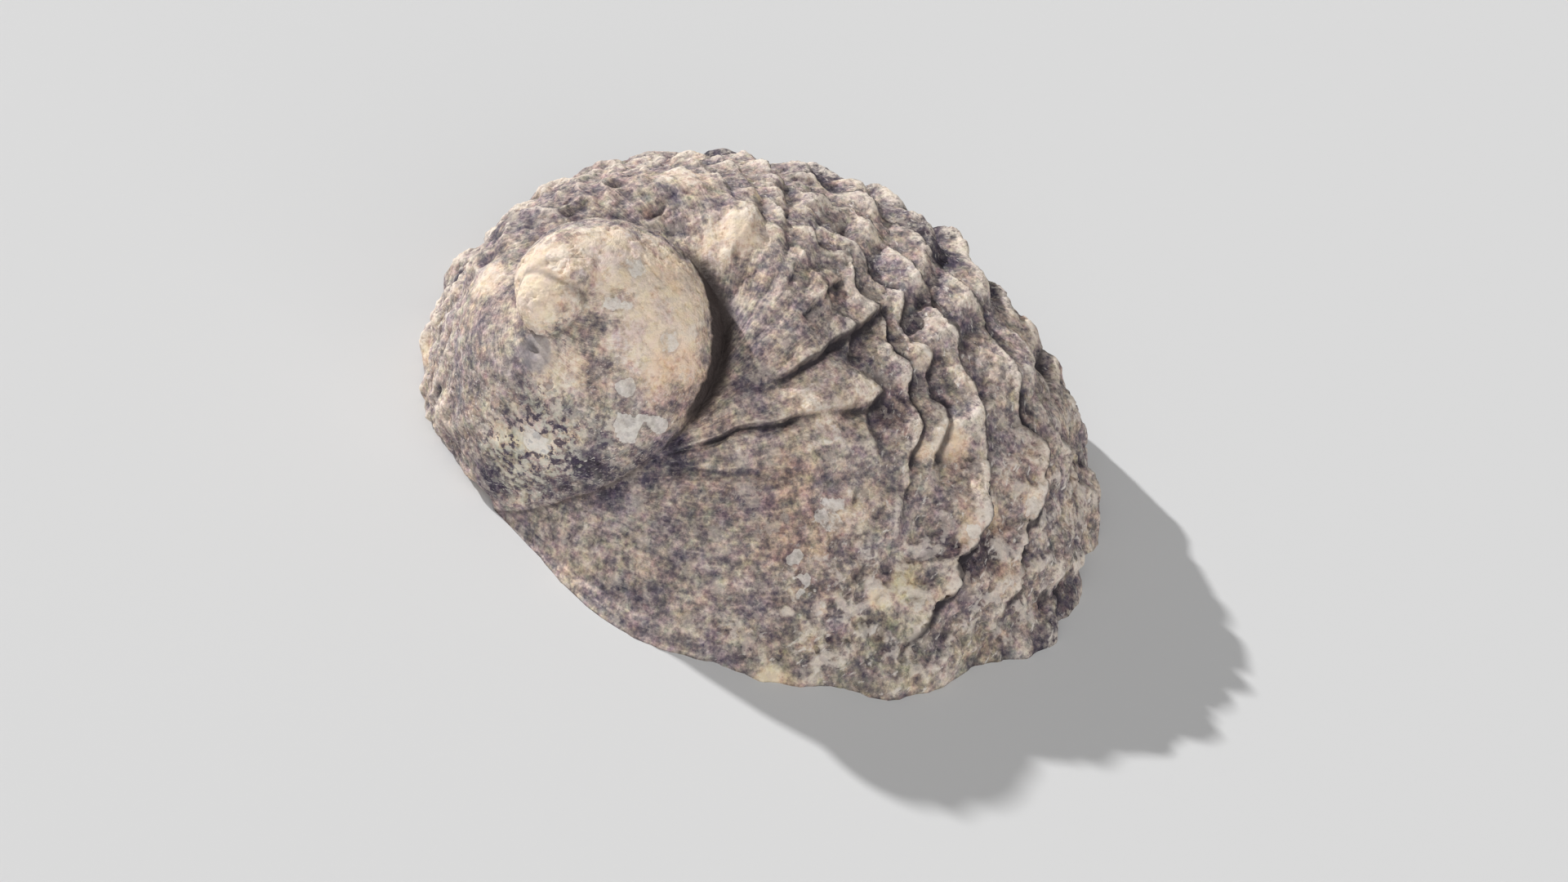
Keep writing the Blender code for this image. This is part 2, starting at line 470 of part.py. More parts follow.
def build_mesh():
    back, grid = outer_grid()
    rows, columns, _ = grid.shape
    points = grid.reshape(-1, 3)
    name = np.arange(rows * columns).reshape(rows, columns)
    # One name for the shared seam and for the single corner where the wall starts
    name[ROWS_PER_LAG:, 0] = name[: rows - ROWS_PER_LAG, -1]
    name[0, : WALL_STEPS + 1] = name[0, 0]
    faces = []
    a = name[:-1, :-1].ravel()
    b = name[1:, :-1].ravel()
    c = name[1:, 1:].ravel()
    d = name[:-1, 1:].ravel()
    faces.extend(zip(a, b, c, d))
    points = list(map(tuple, points))

    # Protoconch: rings that close the small end into a dome
    last = rows - 1
    loop = list(name[last, :]) + list(name[last - 1 : last - ROWS_PER_LAG : -1, -1])
    ring = np.array([points[i] for i in loop])
    centre = ring.mean(axis=0)
    old = loop
    for step in range(1, APEX_RINGS):
        part = step / APEX_RINGS
        rise = 0.35 * (1.0 - (1.0 - part) ** 2)
        new_ring = with_dome(ring + (centre - ring) * part + AXIS * rise)
        new = list(range(len(points), len(points) + len(loop)))
        points.extend(map(tuple, new_ring))
        for j in range(len(loop)):
            k = (j + 1) % len(loop)
            faces.append((old[j], old[k], new[k], new[j]))
        old = new
    tip = len(points)
    points.append(tuple(with_dome(centre + AXIS * 0.35)))
    for j in range(len(loop)):
        faces.append((old[j], old[(j + 1) % len(loop)], tip))

    # Lowest outer height in each plan cell, eroded by the wall thickness
    plan = grid[:, :, :2].reshape(-1, 2)
    low = plan.min(axis=0) - 6.0
    size = np.ceil((plan.max(axis=0) + 6.0 - low) / CELL).astype(int)
    heights = np.full(size, 1e3)
    cell = ((plan - low) / CELL).astype(int)
    np.minimum.at(heights, (cell[:, 0], cell[:, 1]), grid[:, :, 2].ravel())
    filled = heights.copy()
    for dx in (-1, 0, 1):
        for dy in (-1, 0, 1):
            filled = np.minimum(filled, np.where(heights > 900, np.roll(heights, (dx, dy), (0, 1)), heights))
    filled[filled > 900] = 60.0
    reach = int(np.ceil(WALL_THICKNESS / CELL)) + 1
    ceiling = np.full(size, 60.0)
    for dx in range(-reach, reach + 1):
        for dy in range(-reach, reach + 1):
            gap = np.hypot(dx, dy) * CELL
            if gap > WALL_THICKNESS + 0.5:
                continue
            ball = np.sqrt(max((WALL_THICKNESS + 0.5) ** 2 - gap * gap, 0.0))
            ceiling = np.minimum(ceiling, np.roll(filled, (dx, dy), (0, 1)) - ball)
    for _ in range(6):
        blur = sum(np.roll(ceiling, s, x) for s in (-1, 0, 1) for x in (0, 1)) / 6.0
        ceiling = np.minimum(ceiling, blur)

    # Lip: flat on the resting plane, then the hollow of the shell
    outline = list(name[0, -1:WALL_STEPS:-1]) + list(name[0:ROWS_PER_LAG, 0])
    edge = np.array([points[i] for i in outline])
    middle = np.array([BOWL_CENTRE[0], BOWL_CENTRE[1], 0.0])
    toward = middle - edge
    distance = np.linalg.norm(toward, axis=1)[:, None]
    inner_edge = edge + toward / distance * LIP_WIDTH
    old = outline
    for step in range(BOWL_RINGS):
        part = (step / BOWL_RINGS) ** 1.15
        flat = inner_edge + (middle - inner_edge) * part
        where = (flat[:, :2] - low) / CELL - 0.5
        i = np.floor(where).astype(int)
        f = where - i
        value = (
            ceiling[i[:, 0], i[:, 1]] * (1 - f[:, 0]) * (1 - f[:, 1])
            + ceiling[i[:, 0] + 1, i[:, 1]] * f[:, 0] * (1 - f[:, 1])
            + ceiling[i[:, 0], i[:, 1] + 1] * (1 - f[:, 0]) * f[:, 1]
            + ceiling[i[:, 0] + 1, i[:, 1] + 1] * f[:, 0] * f[:, 1]
        )
        flat[:, 2] = 0.0 if step == 0 else np.maximum(value, 0.0)
        new = list(range(len(points), len(points) + len(outline)))
        points.extend(map(tuple, flat))
        for j in range(len(outline)):
            k = (j + 1) % len(outline)
            faces.append((old[j], new[j], new[k], old[k]))
        old = new
        top = flat
    tip = len(points)
    points.append((middle[0], middle[1], float(top[:, 2].mean())))
    for j in range(len(outline)):
        faces.append((old[j], tip, old[(j + 1) % len(outline)]))
    return np.array(points), faces


def make_shell():
    points, faces = build_mesh()
    mesh = bpy.data.meshes.new("shell")
    body = bmesh.new()
    verts = [body.verts.new(p) for p in points]
    for face in faces:
        corners = []
        for i in face:
            if verts[i] not in corners:
                corners.append(verts[i])
        if len(corners) > 2 and body.faces.get(corners) is None:
            body.faces.new(corners)
    loose = [v for v in body.verts if not v.link_faces]
    bmesh.ops.delete(body, geom=loose, context="VERTS")
    bmesh.ops.remove_doubles(body, verts=body.verts, dist=0.00001)
    bmesh.ops.triangulate(body, faces=body.faces)
    bmesh.ops.recalc_face_normals(body, faces=body.faces)
    if body.calc_volume(signed=True) < 0.0:
        bmesh.ops.reverse_faces(body, faces=body.faces)
    body.to_mesh(mesh)
    body.free()
    shell = bpy.data.objects.new("shell", mesh)
    group = bpy.data.collections.new("fossil_abalone")
    bpy.context.scene.collection.children.link(group)
    group.objects.link(shell)
    return shell


def slim(shell):
    """Bring the mesh to its triangle count and put the resting rim exactly on the plane."""
    count = len(shell.data.polygons)
    fewer = shell.modifiers.new("fewer", "DECIMATE")
    fewer.ratio = TRIANGLE_TARGET / count
    fewer.use_collapse_triangulate = True
    graph = bpy.context.evaluated_depsgraph_get()
    mesh = bpy.data.meshes.new_from_object(shell.evaluated_get(graph))
    shell.modifiers.clear()
    old = shell.data
    shell.data = mesh
    bpy.data.meshes.remove(old)
    mesh.name = "shell"
    count = len(mesh.vertices)
    flat = np.zeros(count * 3)
    mesh.vertices.foreach_get("co", flat)
    spots = flat.reshape(-1, 3)
    near = np.abs(spots[:, 2]) < 0.12
    spots[near, 2] = 0.0
    low = spots.min(axis=0)
    high = spots.max(axis=0)
    spots[:, 0] -= (low[0] + high[0]) / 2.0
    spots[:, 1] -= (low[1] + high[1]) / 2.0
    mesh.vertices.foreach_set("co", (spots * MM).ravel())
    mesh.update()
    mesh.shade_smooth()


def stone_material():
    material = bpy.data.materials.new("fossil_shell")
    material.use_nodes = True
    shader = material.node_tree.nodes["Principled BSDF"]
    shader.inputs["Base Color"].default_value = (0.33, 0.28, 0.25, 1.0)
    shader.inputs["Roughness"].default_value = 0.8
    return material


for item in list(bpy.data.objects):
    bpy.data.objects.remove(item, do_unlink=True)
shell = make_shell()
slim(shell)
shell.data.materials.clear()
shell.data.materials.append(stone_material())
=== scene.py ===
import bmesh
import bpy
import numpy as np
from mathutils import Matrix, Vector


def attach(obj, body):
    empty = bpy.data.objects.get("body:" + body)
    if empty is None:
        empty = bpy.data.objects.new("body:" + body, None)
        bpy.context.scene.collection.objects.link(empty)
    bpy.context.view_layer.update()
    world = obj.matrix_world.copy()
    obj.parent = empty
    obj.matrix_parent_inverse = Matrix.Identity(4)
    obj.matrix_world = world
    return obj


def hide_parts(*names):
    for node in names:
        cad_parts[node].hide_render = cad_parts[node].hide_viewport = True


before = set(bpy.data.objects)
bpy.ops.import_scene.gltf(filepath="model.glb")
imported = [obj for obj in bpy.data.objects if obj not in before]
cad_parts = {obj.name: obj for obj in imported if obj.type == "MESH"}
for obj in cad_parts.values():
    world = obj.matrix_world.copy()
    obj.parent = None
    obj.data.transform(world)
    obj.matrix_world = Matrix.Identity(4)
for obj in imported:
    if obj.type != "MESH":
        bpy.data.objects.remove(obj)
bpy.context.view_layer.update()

# Growth law, as in the part's source
MM = 0.001
GROWTH_PER_RADIAN = 0.218
AXIS_LEAN_DEG = 33.3
AXIS_AZIMUTH_DEG = -91.7
POLE_HEIGHT = 46.2
PLAN_CENTRE = (15.776, 42.007)
CREST_RADIUS = 74.8
CREST_DROP = 74.0
CREST_START_DEG = 36.7
CREST_ANGLE = -0.20
SUTURE_ANGLE = 4.15
RING_LAG = SUTURE_ANGLE - CREST_ANGLE
LAGS = 3
CREST_DIP = 0.022
CREST_DIP_ANGLE = 1.15
MARGIN_POINTS = [
    (71.6, 70.4), (73.5, 64.4), (76.0, 58.0), (78.2, 50.7), (79.3, 42.5), (78.5, 33.6),
    (75.0, 25.5), (70.3, 13.3), (62.4, 6.5), (56.5, 0.4), (47.6, -4.1), (38.6, -8.6),
    (32.0, -10.5), (23.4, -11.1), (14.4, -10.0), (7.2, -9.2), (2.5, -8.6),
]
ARCH_AT = [0.0, 0.1, 0.2, 0.3, 0.4, 0.5, 0.6, 0.7, 0.8, 0.9, 0.95, 1.0]
ARCH_HEIGHT = [0.0, 0.8, 1.8, 3.1, 4.2, 5.5, 7.3, 8.8, 8.6, 4.9, 2.3, 0.0]
SPIRE_ARCH = [0.0, 4.0, 6.6, 8.2, 9.2, 9.8, 10.0, 9.8, 8.6, 4.9, 2.3, 0.0]
SPIRE_ARCH_FROM = 3.8
STEP_AT = [4.15, 4.6, 5.2, 5.7, 6.2, 6.8, 7.5, 8.3, 9.5, 10.2, 10.7, 11.3, 16.0]
STEP_DOWN = [4.9, 1.2, 1.0, 3.0, 5.4, 5.4, 3.8, 2.0, 1.2, 1.0, 0.3, 0.05, 0.02]
STEP_OUT = [0.0, 0.1, 0.1, 0.3, 0.7, 0.9, 0.9, 0.6, 0.3, 0.3, 0.1, 0.0, 0.0]
FOOT_AT = [-0.2, 0.1, 0.6, 1.2, 2.0, 2.5, 3.0, 3.4, 3.7, 3.95, 4.08, 4.15]
FOOT_REACH = [0.0, 5.0, 8.5, 9.5, 7.0, 2.0, -0.6, -1.4, -2.4, -3.4, -2.0, 0.0]
PROTOCONCH_CENTRE = (1.0, 0.5, 37.6)
PROTOCONCH_RADIUS = 5.5
WALL_THICKNESS = 2.6
LIP_WIDTH = 2.8

# The crease round the first whorl is sharper here than in the part's source, and painted shade darkens it
DOME_BLEND = 0.5
CREASE_WIDTH = 0.9
CREASE_SHADE = 0.55

# Mesh of the scene's shell
FINE_ROWS = 440
FINE_STEPS = 300
WALL_STEPS = 24
WALL_PLACE = -0.3
APEX_RINGS = 12
APEX_RISE = 0.35
BOWL_RINGS = 60
BOWL_CENTRE = (30.0, 45.0)
CELL = 0.8
LID_MARGIN = 6.0
TRIANGLES = 192000

# Row of teeth along the crest: (growth angle, height in mm) of each tip and of each dip
TOOTH_TIPS = [
    (-0.08, 0.2), (0.14, -0.3), (0.24, 0.5), (0.36, -0.5), (0.48, -0.9), (0.68, 0.8),
    (0.92, 0.4), (1.16, 0.2), (1.46, 0.4), (1.72, 0.7), (1.88, 1.5), (2.12, 1.8),
    (2.28, 1.0), (2.56, 1.3), (2.80, 0.5), (3.02, 0.6), (3.32, -0.1),
]
TOOTH_DIPS = [
    (0.0, -1.2), (0.19, -0.5), (0.29, -2.1), (0.43, -2.0), (0.55, -3.3), (0.78, -3.3),
    (1.02, -2.7), (1.26, -2.8), (1.58, -0.4), (1.80, 0.1), (2.0, 0.5), (2.20, -0.4),
    (2.44, -0.4), (2.70, -0.8), (2.93, -0.6), (3.22, -2.0), (3.50, -0.9), (4.1, -0.2),
]
TOOTH_REACH = 0.09

# Spiral ribs: (back, place) along each rib's ledge, with its height, drop and slope widths
RIB_FOURTH = [
    (0.0, -0.10), (0.16, 0.01), (0.21, 0.04), (0.39, 0.183), (0.46, 0.229), (0.55, 0.246),
    (0.63, 0.25), (0.71, 0.237), (0.79, 0.25), (0.92, 0.235), (1.02, 0.215), (1.15, 0.23),
    (1.30, 0.19), (1.45, 0.21), (1.65, 0.19), (1.9, 0.20), (2.2, 0.19), (2.6, 0.20), (4.4, 0.20),
]
RIB_THIRD = [
    (0.0, 0.335), (0.08, 0.333), (0.12, 0.327), (0.17, 0.338), (0.20, 0.317), (0.26, 0.331),
    (0.30, 0.315), (0.34, 0.319), (0.36, 0.292), (0.43, 0.304), (0.48, 0.296), (0.51, 0.292),
    (0.58, 0.317), (0.65, 0.323), (0.74, 0.321), (0.86, 0.323), (0.91, 0.306), (0.975, 0.335),
    (1.046, 0.333), (1.085, 0.310), (1.18, 0.335), (1.25, 0.308), (1.30, 0.300), (1.39, 0.333),
    (1.45, 0.300), (1.58, 0.335), (1.66, 0.315), (1.77, 0.36), (1.9, 0.33), (2.1, 0.345),
    (2.3, 0.325), (2.6, 0.34), (3.0, 0.33), (3.5, 0.335), (4.4, 0.33),
]
RIB_SECOND = [
    (0.0, 0.458), (0.13, 0.475), (0.20, 0.467), (0.25, 0.471), (0.26, 0.450), (0.31, 0.438),
    (0.355, 0.458), (0.37, 0.425), (0.42, 0.421), (0.50, 0.433), (0.55, 0.425), (0.62, 0.415),
    (0.69, 0.433), (0.73, 0.440), (0.77, 0.433), (0.81, 0.433), (0.90, 0.440), (0.95, 0.427),
    (1.02, 0.452), (1.085, 0.442), (1.13, 0.410), (1.20, 0.444), (1.29, 0.433), (1.36, 0.410),
    (1.48, 0.431), (1.53, 0.405), (1.64, 0.445), (1.73, 0.475), (1.79, 0.446), (1.9, 0.47),
    (2.1, 0.455), (2.35, 0.475), (2.6, 0.455), (3.0, 0.465), (3.5, 0.455), (4.4, 0.46),
]
RIB_BETWEEN = [
    (0.0, 0.50), (0.70, 0.512), (0.73, 0.508), (0.79, 0.502), (0.85, 0.519), (0.96, 0.506),
    (1.046, 0.531), (1.12, 0.529), (1.20, 0.504), (1.32, 0.53), (1.42, 0.512), (1.6, 0.535),
    (1.8, 0.55), (2.0, 0.54), (2.4, 0.55), (3.0, 0.55), (4.4, 0.55),
]
RIB_FIRST = [
    (0.0, 0.55), (0.46, 0.556), (0.52, 0.573), (0.57, 0.571), (0.62, 0.556), (0.72, 0.569),
    (0.77, 0.558), (0.83, 0.556), (0.89, 0.562), (1.0, 0.565), (1.07, 0.581), (1.16, 0.583),
    (1.24, 0.573), (1.345, 0.602), (1.42, 0.600), (1.48, 0.577), (1.56, 0.602), (1.65, 0.626),
    (1.75, 0.635), (1.88, 0.652), (1.96, 0.608), (2.1, 0.64), (2.3, 0.625), (2.6, 0.64), (4.4, 0.64),
]
RIB_INNER = [
    (0.0, 0.63), (0.71, 0.629), (0.78, 0.637), (0.85, 0.648), (0.88, 0.648), (0.94, 0.642),
    (0.97, 0.627), (1.01, 0.642), (1.09, 0.664), (1.16, 0.677), (1.27, 0.665), (1.40, 0.69),
    (1.6, 0.70), (1.8, 0.715), (2.1, 0.72), (4.4, 0.73),
]
RIB_LINES = [RIB_FOURTH, RIB_THIRD, RIB_SECOND, RIB_BETWEEN, RIB_FIRST, RIB_INNER]
RIB_HEIGHTS = [1.9, 2.7, 2.9, 1.4, 2.2, 1.3]
RIB_STARTS = [-0.3, 0.06, 0.06, 0.52, 0.40, 0.68]
RIB_DROPS = [0.018, 0.012, 0.011, 0.011, 0.012, 0.012]
RIB_SLOPES = [0.10, 0.095, 0.085, 0.05, 0.06, 0.05]

# Growth folds: leading edges at the crest, and how they bend across the shell
FOLD_EDGES = [
    -0.10, 0.04, 0.30, 0.56, 0.82, 1.03, 1.27, 1.50, 1.70, 1.88, 2.05, 2.22,
    2.41, 2.58, 2.76, 2.95, 3.14, 3.34, 3.55, 3.77, 4.0, 4.25, 4.5, 4.8,
]
FOLD_AT = [0.0, 0.1, 0.2, 0.35, 0.5, 0.65, 0.8, 1.0]
FOLD_HEIGHT = [3.0, 2.6, 1.9, 1.5, 1.3, 1.0, 0.5, 0.1]
FOLD_DROP = 0.34
RIB_LOBE = 0.012

# Lobes of the final lip: place, and height in mm outward from the plain curve
LIP_LOBES = [
    (0.0, -0.4), (0.03, -1.6), (0.05, -3.6), (0.075, -1.2), (0.10, 0.8), (0.125, 0.7),
    (0.15, 0.0), (0.175, -1.4), (0.20, 0.8), (0.25, -0.4), (0.28, -2.4), (0.30, -2.7),
    (0.325, -2.9), (0.35, -1.2), (0.375, 0.2), (0.425, 0.0), (0.45, 0.8), (0.475, 0.0),
    (0.50, -1.2), (0.525, -0.8), (0.55, -0.4), (0.575, -1.2), (0.60, -0.6), (0.625, -1.4),
    (0.65, -1.4), (0.675, 0.0), (0.72, 0.3), (0.80, 0.0), (0.88, -0.3), (1.0, 0.0),
]

# Single steps and grooves across the shell: (place, back) of the line
DEEP_STEP = [
    (0.30, 1.12), (0.44, 1.17), (0.50, 1.205), (0.57, 1.234), (0.633, 1.242), (0.675, 1.25),
    (0.72, 1.282), (0.758, 1.266), (0.792, 1.284), (0.83, 1.29), (0.90, 1.33),
]
LONG_GROOVE = [
    (0.60, 0.93), (0.667, 0.951), (0.704, 0.983), (0.746, 1.014), (0.775, 1.03), (0.808, 1.03),
    (0.833, 1.046), (0.862, 1.069), (0.887, 1.069), (0.90, 1.04), (0.917, 1.03), (0.946, 1.03),
    (0.971, 1.0), (1.0, 0.98),
]
SOFT_GROOVE = [(0.68, 0.765), (0.725, 0.778), (0.787, 0.802), (0.846, 0.818), (0.90, 0.841), (0.97, 0.87)]
# Their depth in mm and their reach in back
DEEP_STEP_SIZE = (2.6, 0.15)
LONG_GROOVE_SIZE = (1.5, 0.075)
SOFT_GROOVE_SIZE = (0.8, 0.09)
SHORT_STEP_REACH = 0.11
STEP_EDGE = 0.018
CREAM_RIDGE = [(0.70, 2.05), (0.733, 2.075), (0.812, 2.145), (0.875, 2.23), (0.908, 2.28), (0.97, 2.40)]
SHORT_STEPS = [
    ([(0.60, 1.44), (0.625, 1.455), (0.675, 1.486), (0.708, 1.478), (0.746, 1.502), (0.80, 1.52)], 1.5),
    ([(0.68, 1.68), (0.713, 1.698), (0.754, 1.722), (0.787, 1.722), (0.83, 1.74)], 1.1),
]

# Weathered skin, in mm: size and depth of its crumples, how far they bend, and the heights above
# the floor between which they fade in
CRUMPLE_SIZE = 3.6
CRUMPLE_DEPTH = 0.68
CRUMPLE_BEND = 1.2
CRUMPLE_FADE = (0.5, 3.5)
# Shares of that depth: rolling swellings, folds, the plain part, and what is added near the lip
ROLL_SHARE = 2.2
FOLD_SHARE = 0.22
FOLD_SHARPNESS = 9.0
PLAIN_SHARE = 0.35
FRONT_SHARE = 1.4

# Soft hollows and lumps: back, place, reach in back, reach in place, height in mm
SPOTS = [
    (0.629, 0.642, 0.05, 0.012, -0.7), (0.487, 0.637, 0.05, 0.020, -0.4), (0.338, 0.583, 0.07, 0.025, -0.5),
    (0.92, 0.717, 0.05, 0.010, -0.4), (0.747, 0.70, 0.05, 0.018, -0.4), (0.53, 0.60, 0.06, 0.020, -0.4),
    (0.29, 0.52, 0.09, 0.040, 1.4), (0.12, 0.53, 0.07, 0.035, 1.3), (0.40, 0.60, 0.06, 0.030, 0.8),
    (0.39, 0.45, 0.04, 0.016, 0.9), (0.35, 0.31, 0.05, 0.020, 1.0), (0.24, 0.40, 0.06, 0.030, 1.0),
    (0.10, 0.40, 0.05, 0.030, 1.2), (0.17, 0.22, 0.06, 0.030, 1.3), (0.08, 0.12, 0.05, 0.030, 1.2),
    (0.05, 0.62, 0.05, 0.020, 0.7), (0.17, 0.60, 0.05, 0.020, 0.6), (0.28, 0.10, 0.05, 0.030, 0.8),
]

# Small angular hollow on the spire: its place, its reach in back and place, its depth in mm
PIT_BACK = 5.79
PIT_PLACE = 0.81
PIT_LONG = 0.17
PIT_WIDE = 0.065
PIT_DEPTH = 1.3

# Coloured areas: back, place, radius in mm, amount
PALE_AREAS = [
    (11.0, 0.54, 8.5, 1.0), (7.76, 0.69, 9.0, 0.9), (8.41, 0.81, 7.0, 0.7), (6.71, 0.446, 10.0, 0.85),
    (6.27, 0.379, 6.0, 0.5), (7.03, 0.329, 8.0, 0.8), (2.2, 0.825, 5.5, 0.8), (2.48, 0.929, 5.0, 0.6),
    (2.42, 0.679, 5.0, 0.3), (4.52, 0.833, 4.0, 0.6), (3.33, 0.046, 4.0, 0.7), (0.68, 0.492, 3.8, 0.8),
    (0.42, 0.446, 2.6, 0.9), (0.38, 0.312, 2.4, 0.9), (0.42, 0.388, 2.4, 0.6), (0.28, 0.546, 2.2, 0.9),
    (0.21, 0.542, 1.8, 0.7), (0.02, 0.592, 2.6, 0.9), (0.24, 0.608, 2.0, 0.5), (0.59, 0.646, 4.5, 0.5),
    (0.71, 0.546, 2.6, 0.8), (5.14, 0.35, 3.6, 0.7), (4.9, 0.383, 3.0, 0.6), (1.35, 0.429, 4.0, 0.3),
    (1.05, 0.73, 8.0, 0.4), (5.9, 0.70, 5.0, 0.5), (6.2, 0.86, 3.5, 0.5), (0.25, 0.167, 3.6, 0.5),
    (0.29, 0.508, 4.0, 0.35),
]
DARK_AREAS = [
    (5.04, 0.0, 5.0, 0.5), (0.95, 0.95, 4.0, 0.5), (0.88, 0.983, 3.5, 0.5), (4.79, 0.033, 4.0, 0.5),
    (4.4, 0.062, 4.0, 0.5), (6.53, 0.958, 2.2, 0.4), (6.05, 0.992, 2.5, 0.4), (1.17, 0.667, 3.0, 0.5),
    (1.2, 0.562, 3.0, 0.5), (1.12, 0.24, 9.0, 0.6), (0.0, 0.204, 5.5, 0.6), (0.04, 0.163, 5.0, 0.5),
    (3.1, 0.158, 4.5, 0.7), (2.74, 0.287, 4.0, 0.6), (3.5, 0.6, 4.5, 0.5), (1.59, 0.258, 4.5, 0.5),
    (1.25, 0.146, 4.0, 0.4), (0.88, 0.596, 4.0, 0.4), (1.3, 0.04, 7.0, 0.8), (1.0, 0.04, 7.0, 0.8),
    (1.7, 0.03, 7.0, 0.7), (0.75, 0.05, 6.0, 0.6), (5.2, 0.12, 5.0, 0.6), (0.33, 0.4, 4.5, 0.4),
]
GREEN_AREAS = [
    (0.12, 0.483, 8.0, 0.8), (0.31, 0.508, 4.2, 1.0), (0.1, 0.604, 7.0, 0.6), (0.06, 0.525, 6.0, 0.7),
    (0.06, 0.342, 6.5, 0.6), (4.8, 0.254, 6.0, 0.6), (0.85, 0.04, 6.0, 0.4),
]
BROWN_AREAS = [
    (0.33, 0.4, 8.0, 0.7), (0.53, 0.696, 8.0, 0.7), (0.71, 0.758, 6.0, 0.6), (0.88, 0.596, 6.0, 0.5),
    (6.08, 0.196, 7.0, 0.6), (0.45, 0.30, 7.0, 0.5),
]
SPOTTED_AREAS = [
    (5.2, 0.35, 9.0, 1.0), (4.9, 0.30, 8.0, 1.0), (5.45, 0.48, 6.0, 0.7), (5.6, 0.28, 6.0, 0.5),
    (4.7, 0.12, 7.0, 0.8), (6.6, 0.95, 3.0, 0.6),
]
BLUE_GREY_AREAS = [(5.85, 0.80, 3.0, 0.7)]
FLAKES = [
    (0.35, 0.650, 2.6, 1.0), (0.40, 0.675, 1.8, 0.8), (5.67, 0.242, 2.4, 1.0), (5.69, 0.129, 1.6, 0.9),
    (6.06, 0.417, 1.8, 1.0), (7.17, 0.75, 2.0, 0.5), (7.56, 0.642, 1.6, 0.5), (6.49, 0.354, 1.8, 0.5),
    (0.59, 0.671, 3.2, 0.5), (5.14, 0.35, 2.2, 0.7), (0.42, 0.446, 1.7, 0.9), (0.38, 0.312, 1.6, 0.9),
]
# Growth angles where the painted shade in the step round the spire is broad
CREVICE_FROM = 1.15
CREVICE_TO = 3.0

# Surface of the stone; the height of its grain is in mm
STONE_ROUGHNESS = 0.78
STONE_SPECULAR = 0.3
GRAIN_STRENGTH = 0.7
GRAIN_HEIGHT = 0.8

# Camera and light, in metres
CAMERA_AT = (0.121793, -0.185949, 0.188089)
CAMERA_RIGHT = (0.728436, 0.655887, 0.197971)
CAMERA_UP = (-0.552303, 0.391196, 0.736157)
CAMERA_BACK = (0.405391, -0.645584, 0.647210)
CAMERA_LENS = 37.5
CAMERA_SENSOR = 36.0

# Suns: name, strength, spread in degrees, and the direction to it as camera right, up and back
LIGHTS = [
    ("key_light", 3.3, 1.5, (-0.579, 0.814, -0.047)),
    ("fill_light", 0.32, 80.0, (-0.10, 0.30, 0.95)),
    ("low_light", 1.25, 70.0, (0.30, -0.30, 0.90)),
]
WORLD_STRENGTH = 0.22
FLOOR_HALF = 6.0


def unit(vector):
    return vector / np.linalg.norm(vector, axis=-1)[..., None]


def smooth(value):
    value = np.clip(value, 0.0, 1.0)
    return value * value * (3.0 - 2.0 * value)


lean = np.radians(AXIS_LEAN_DEG)
azimuth = np.radians(AXIS_AZIMUTH_DEG)
AXIS = np.array([np.sin(lean) * np.cos(azimuth), np.sin(lean) * np.sin(azimuth), np.cos(lean)])
SIDE = unit(np.array([1.0, 0.0, 0.0]) - AXIS[0] * AXIS)
ACROSS = np.cross(AXIS, SIDE)
POLE = np.array([0.0, 0.0, POLE_HEIGHT])


def radial(angle):
    turn = angle + np.radians(CREST_START_DEG)
    return np.cos(turn)[..., None] * SIDE + np.sin(turn)[..., None] * ACROSS


def crest(angle):
    angle = np.asarray(angle, float)
    dip = CREST_DIP * smooth(1.0 - np.abs(angle - CREST_DIP_ANGLE) / 0.95)
    size = (np.exp(-GROWTH_PER_RADIAN * angle) * (1.0 - dip))[..., None]
    return POLE + size * (CREST_RADIUS * radial(angle) - CREST_DROP * AXIS)


def turned(vector, angle):
    cos = np.cos(angle)[..., None]
    sin = np.sin(angle)[..., None]
    along = (vector @ AXIS)[..., None]
    return vector * cos + np.cross(AXIS, vector) * sin + (1.0 - cos) * along * AXIS


def spline_at(points, places):
    """Smooth curve through the points, read at places from 0 to 1 of its length."""
    points = np.asarray(points, float)
    gaps = np.linalg.norm(np.diff(points, axis=0), axis=1)
    knots = np.concatenate([[0.0], np.cumsum(gaps)]) / gaps.sum()
    slopes = np.gradient(points, knots, axis=0)
    index = np.clip(np.searchsorted(knots, places, side="right") - 1, 0, len(knots) - 2)
    span = (knots[index + 1] - knots[index])[..., None]
    t = (places - knots[index])[..., None] / span
    a = points[index]
    b = points[index + 1]
    da = slopes[index] * span
    db = slopes[index + 1] * span
    return (
        (2 * t**3 - 3 * t**2 + 1) * a
        + (t**3 - 2 * t**2 + t) * da
        + (3 * t**2 - 2 * t**3) * b
        + (t**3 - t**2) * db
    )


def margin(place):
    flat = spline_at(MARGIN_POINTS, place)
    plan = np.zeros(flat.shape[:-1] + (3,))
    plan[..., :2] = flat
    return plan


def arch_of(vector):
    """Height above the cone through the crest, and the direction of that height."""
    height = vector @ AXIS
    radius = np.sqrt(np.maximum((vector * vector).sum(-1) - height * height, 1e-6))
    long = np.hypot(CREST_RADIUS, CREST_DROP)
    outward = (vector - height[..., None] * AXIS) / radius[..., None]
    lift = (radius * CREST_DROP + height * CREST_RADIUS) / long
    return lift, (outward * CREST_DROP + AXIS * CREST_RADIUS) / long


def suture_foot(angle):
    """Foot of the step below the crest, where the next whorl is attached."""
    angle = np.asarray(angle, float)
    blend = smooth((angle - SUTURE_ANGLE) / 1.2)[..., None]
    down = unit(-AXIS * blend + np.array([0.0, 0.0, -1.0]) * (1.0 - blend))
    depth = np.interp(angle, STEP_AT, STEP_DOWN)[..., None]
    reach = np.interp(angle, STEP_AT, STEP_OUT)[..., None]
    return crest(angle) + depth * down + reach * radial(angle)


